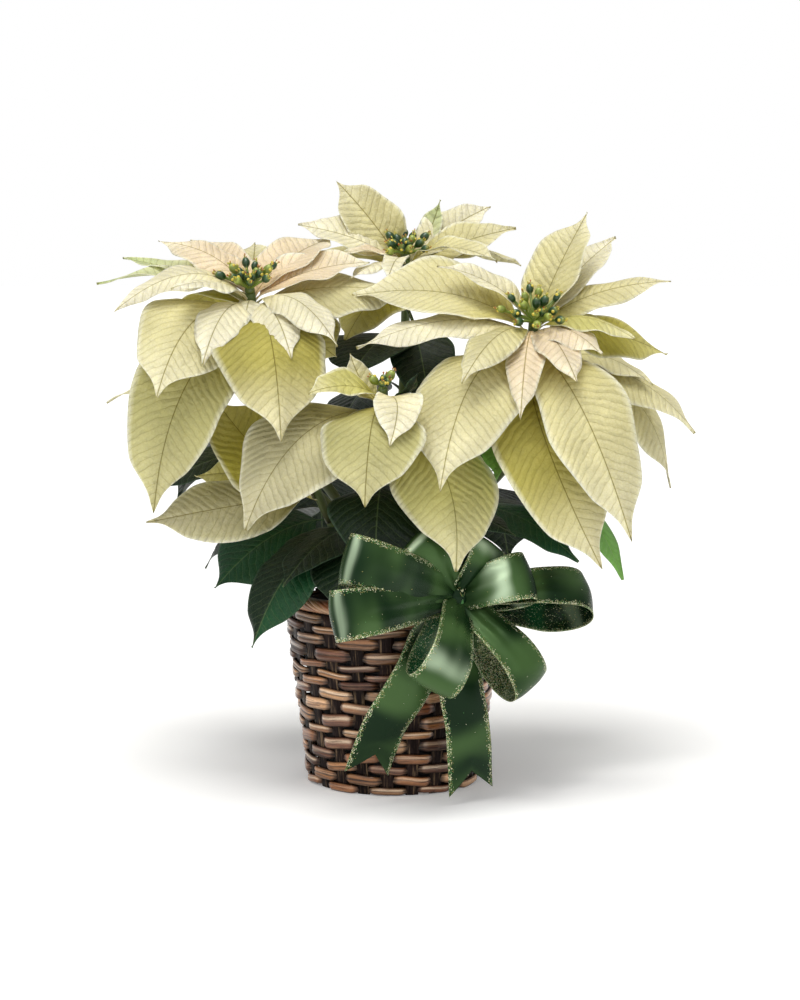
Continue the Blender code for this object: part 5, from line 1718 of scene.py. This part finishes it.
def make_knot():
    """The short length of ribbon that is folded over the pinch."""
    rng = random.Random("knot")
    builder = MeshBuilder()
    path = [bow_centre + bow_out * reach for reach, radius in KNOT_PROFILE]
    points, faces, uv = tube(path, [radius for reach, radius in KNOT_PROFILE], 40)
    offset = points - bow_centre
    along = offset @ bow_out
    radial = offset - along[:, None] * bow_out
    angle = np.arctan2(radial @ UP, radial @ bow_right)
    crease = 1.0 + 0.07 * np.sin(7.0 * angle + along) + 0.04 * np.sin(13.0 * angle - 0.7 * along)
    points = bow_centre + along[:, None] * bow_out + radial * crease[:, None]
    uv = [(0.5 + 0.17 * math.sin(a), s / UV_UNIT) for a, s in zip(angle, along)]
    # The knot's tint gives it painted shade all over.
    builder.add(points, faces, uv, (0.0, rng.uniform(0.6, 0.7), 0.0))
    return builder.build("bow_knot", [satin])


bow, ribbon_length = make_bow()
knot = make_knot()
print("ribbon length:", round(ribbon_length), "mm;", len(bow.data.polygons), "faces")

# %% [markdown]
# ## The tie wire
#
# The wire that gathers the bow and holds it to the border is green coated florist's wire. Its
# CAD solid has the right shape, so it stays and only gets its finish.

# %% Wire material
def make_wire_coat():
    material, nodes, shader = new_material("wire_coat", Roughness=0.35, Coat_Weight=0.2)
    mottled(nodes, shader, (0.035, 0.12, 0.05), 150.0, 1500.0, 0.3)
    return material


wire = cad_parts["tie_wire"]
wire_coat = make_wire_coat()
for place in wire.material_slots:
    place.material = wire_coat
print("tie wire:", wire.material_slots[0].material.name)

# %% [markdown]
# ## Floor and light
#
# The plant was photographed on white, with a broad light above it and a faint grey shadow on both
# sides of the basket's foot. A white floor under a bright sky gives the plain ground. A soft lamp
# overhead gives the bracts their modelling and the shadow its place, a very broad one in front
# fills, and a small one at the upper left puts a glint on the satin and the varnish.

# %% Floor, sky and lamps
FLOOR_HALF = 6.0


def add_floor():
    mesh = bpy.data.meshes.new("studio_floor")
    mesh.from_pydata([(x * FLOOR_HALF, y * FLOOR_HALF, 0)
                      for x, y in ((-1, -1), (1, -1), (1, 1), (-1, 1))], [], [(0, 1, 2, 3)])
    material, nodes, shader = new_material(
        "studio_white", Base_Color=(0.93, 0.93, 0.93), Roughness=0.9, Specular_IOR_Level=0.1,
        Emission_Color=(1.0, 1.0, 1.0), Emission_Strength=0.16)
    mesh.materials.append(material)
    floor = bpy.data.objects.new("studio_floor", mesh)
    bpy.context.scene.collection.objects.link(floor)
    return floor


def add_sun(name, place, softness, strength, colour=(1.0, 1.0, 1.0)):
    """A broad, soft lamp: a sun as wide as a big studio softbox looks from the plant."""
    data = bpy.data.lights.new(name, "SUN")
    data.angle = math.radians(softness)
    data.energy = strength
    data.color = colour
    lamp = bpy.data.objects.new(name, data)
    lamp.location = place
    lamp.rotation_euler = (-Vector(place)).to_track_quat("-Z", "Y").to_euler()
    bpy.context.scene.collection.objects.link(lamp)
    return lamp


def add_sky(light, seen):
    """A sky that lights the plant gently, yet looks white where the camera sees it."""
    world = bpy.data.worlds.new("studio_sky")
    world.use_nodes = True
    nodes = world.node_tree.nodes
    background = nodes["Background"]
    background.inputs["Color"].default_value = (1.0, 1.0, 1.0, 1.0)
    path = nodes.new("ShaderNodeLightPath")
    strength = nodes.new("ShaderNodeMapRange")
    strength.inputs["To Min"].default_value = light
    strength.inputs["To Max"].default_value = seen
    world.node_tree.links.new(path.outputs["Is Camera Ray"], strength.inputs["Value"])
    world.node_tree.links.new(strength.outputs["Result"], background.inputs["Strength"])
    bpy.context.scene.world = world


floor = add_floor()
add_sky(0.36, 1.0)
add_sun("key", (-0.10, -0.26, 1.90), 34.0, 1.88, (1.0, 0.99, 0.96))
add_sun("sparkle", (-0.50, -1.00, 1.30), 9.0, 0.30, (1.0, 0.98, 0.95))
add_sun("front_fill", (-0.15, -1.50, 0.95), 100.0, 1.00)
bpy.context.scene.view_settings.view_transform = "Standard"
print("floor, sky and three lamps")
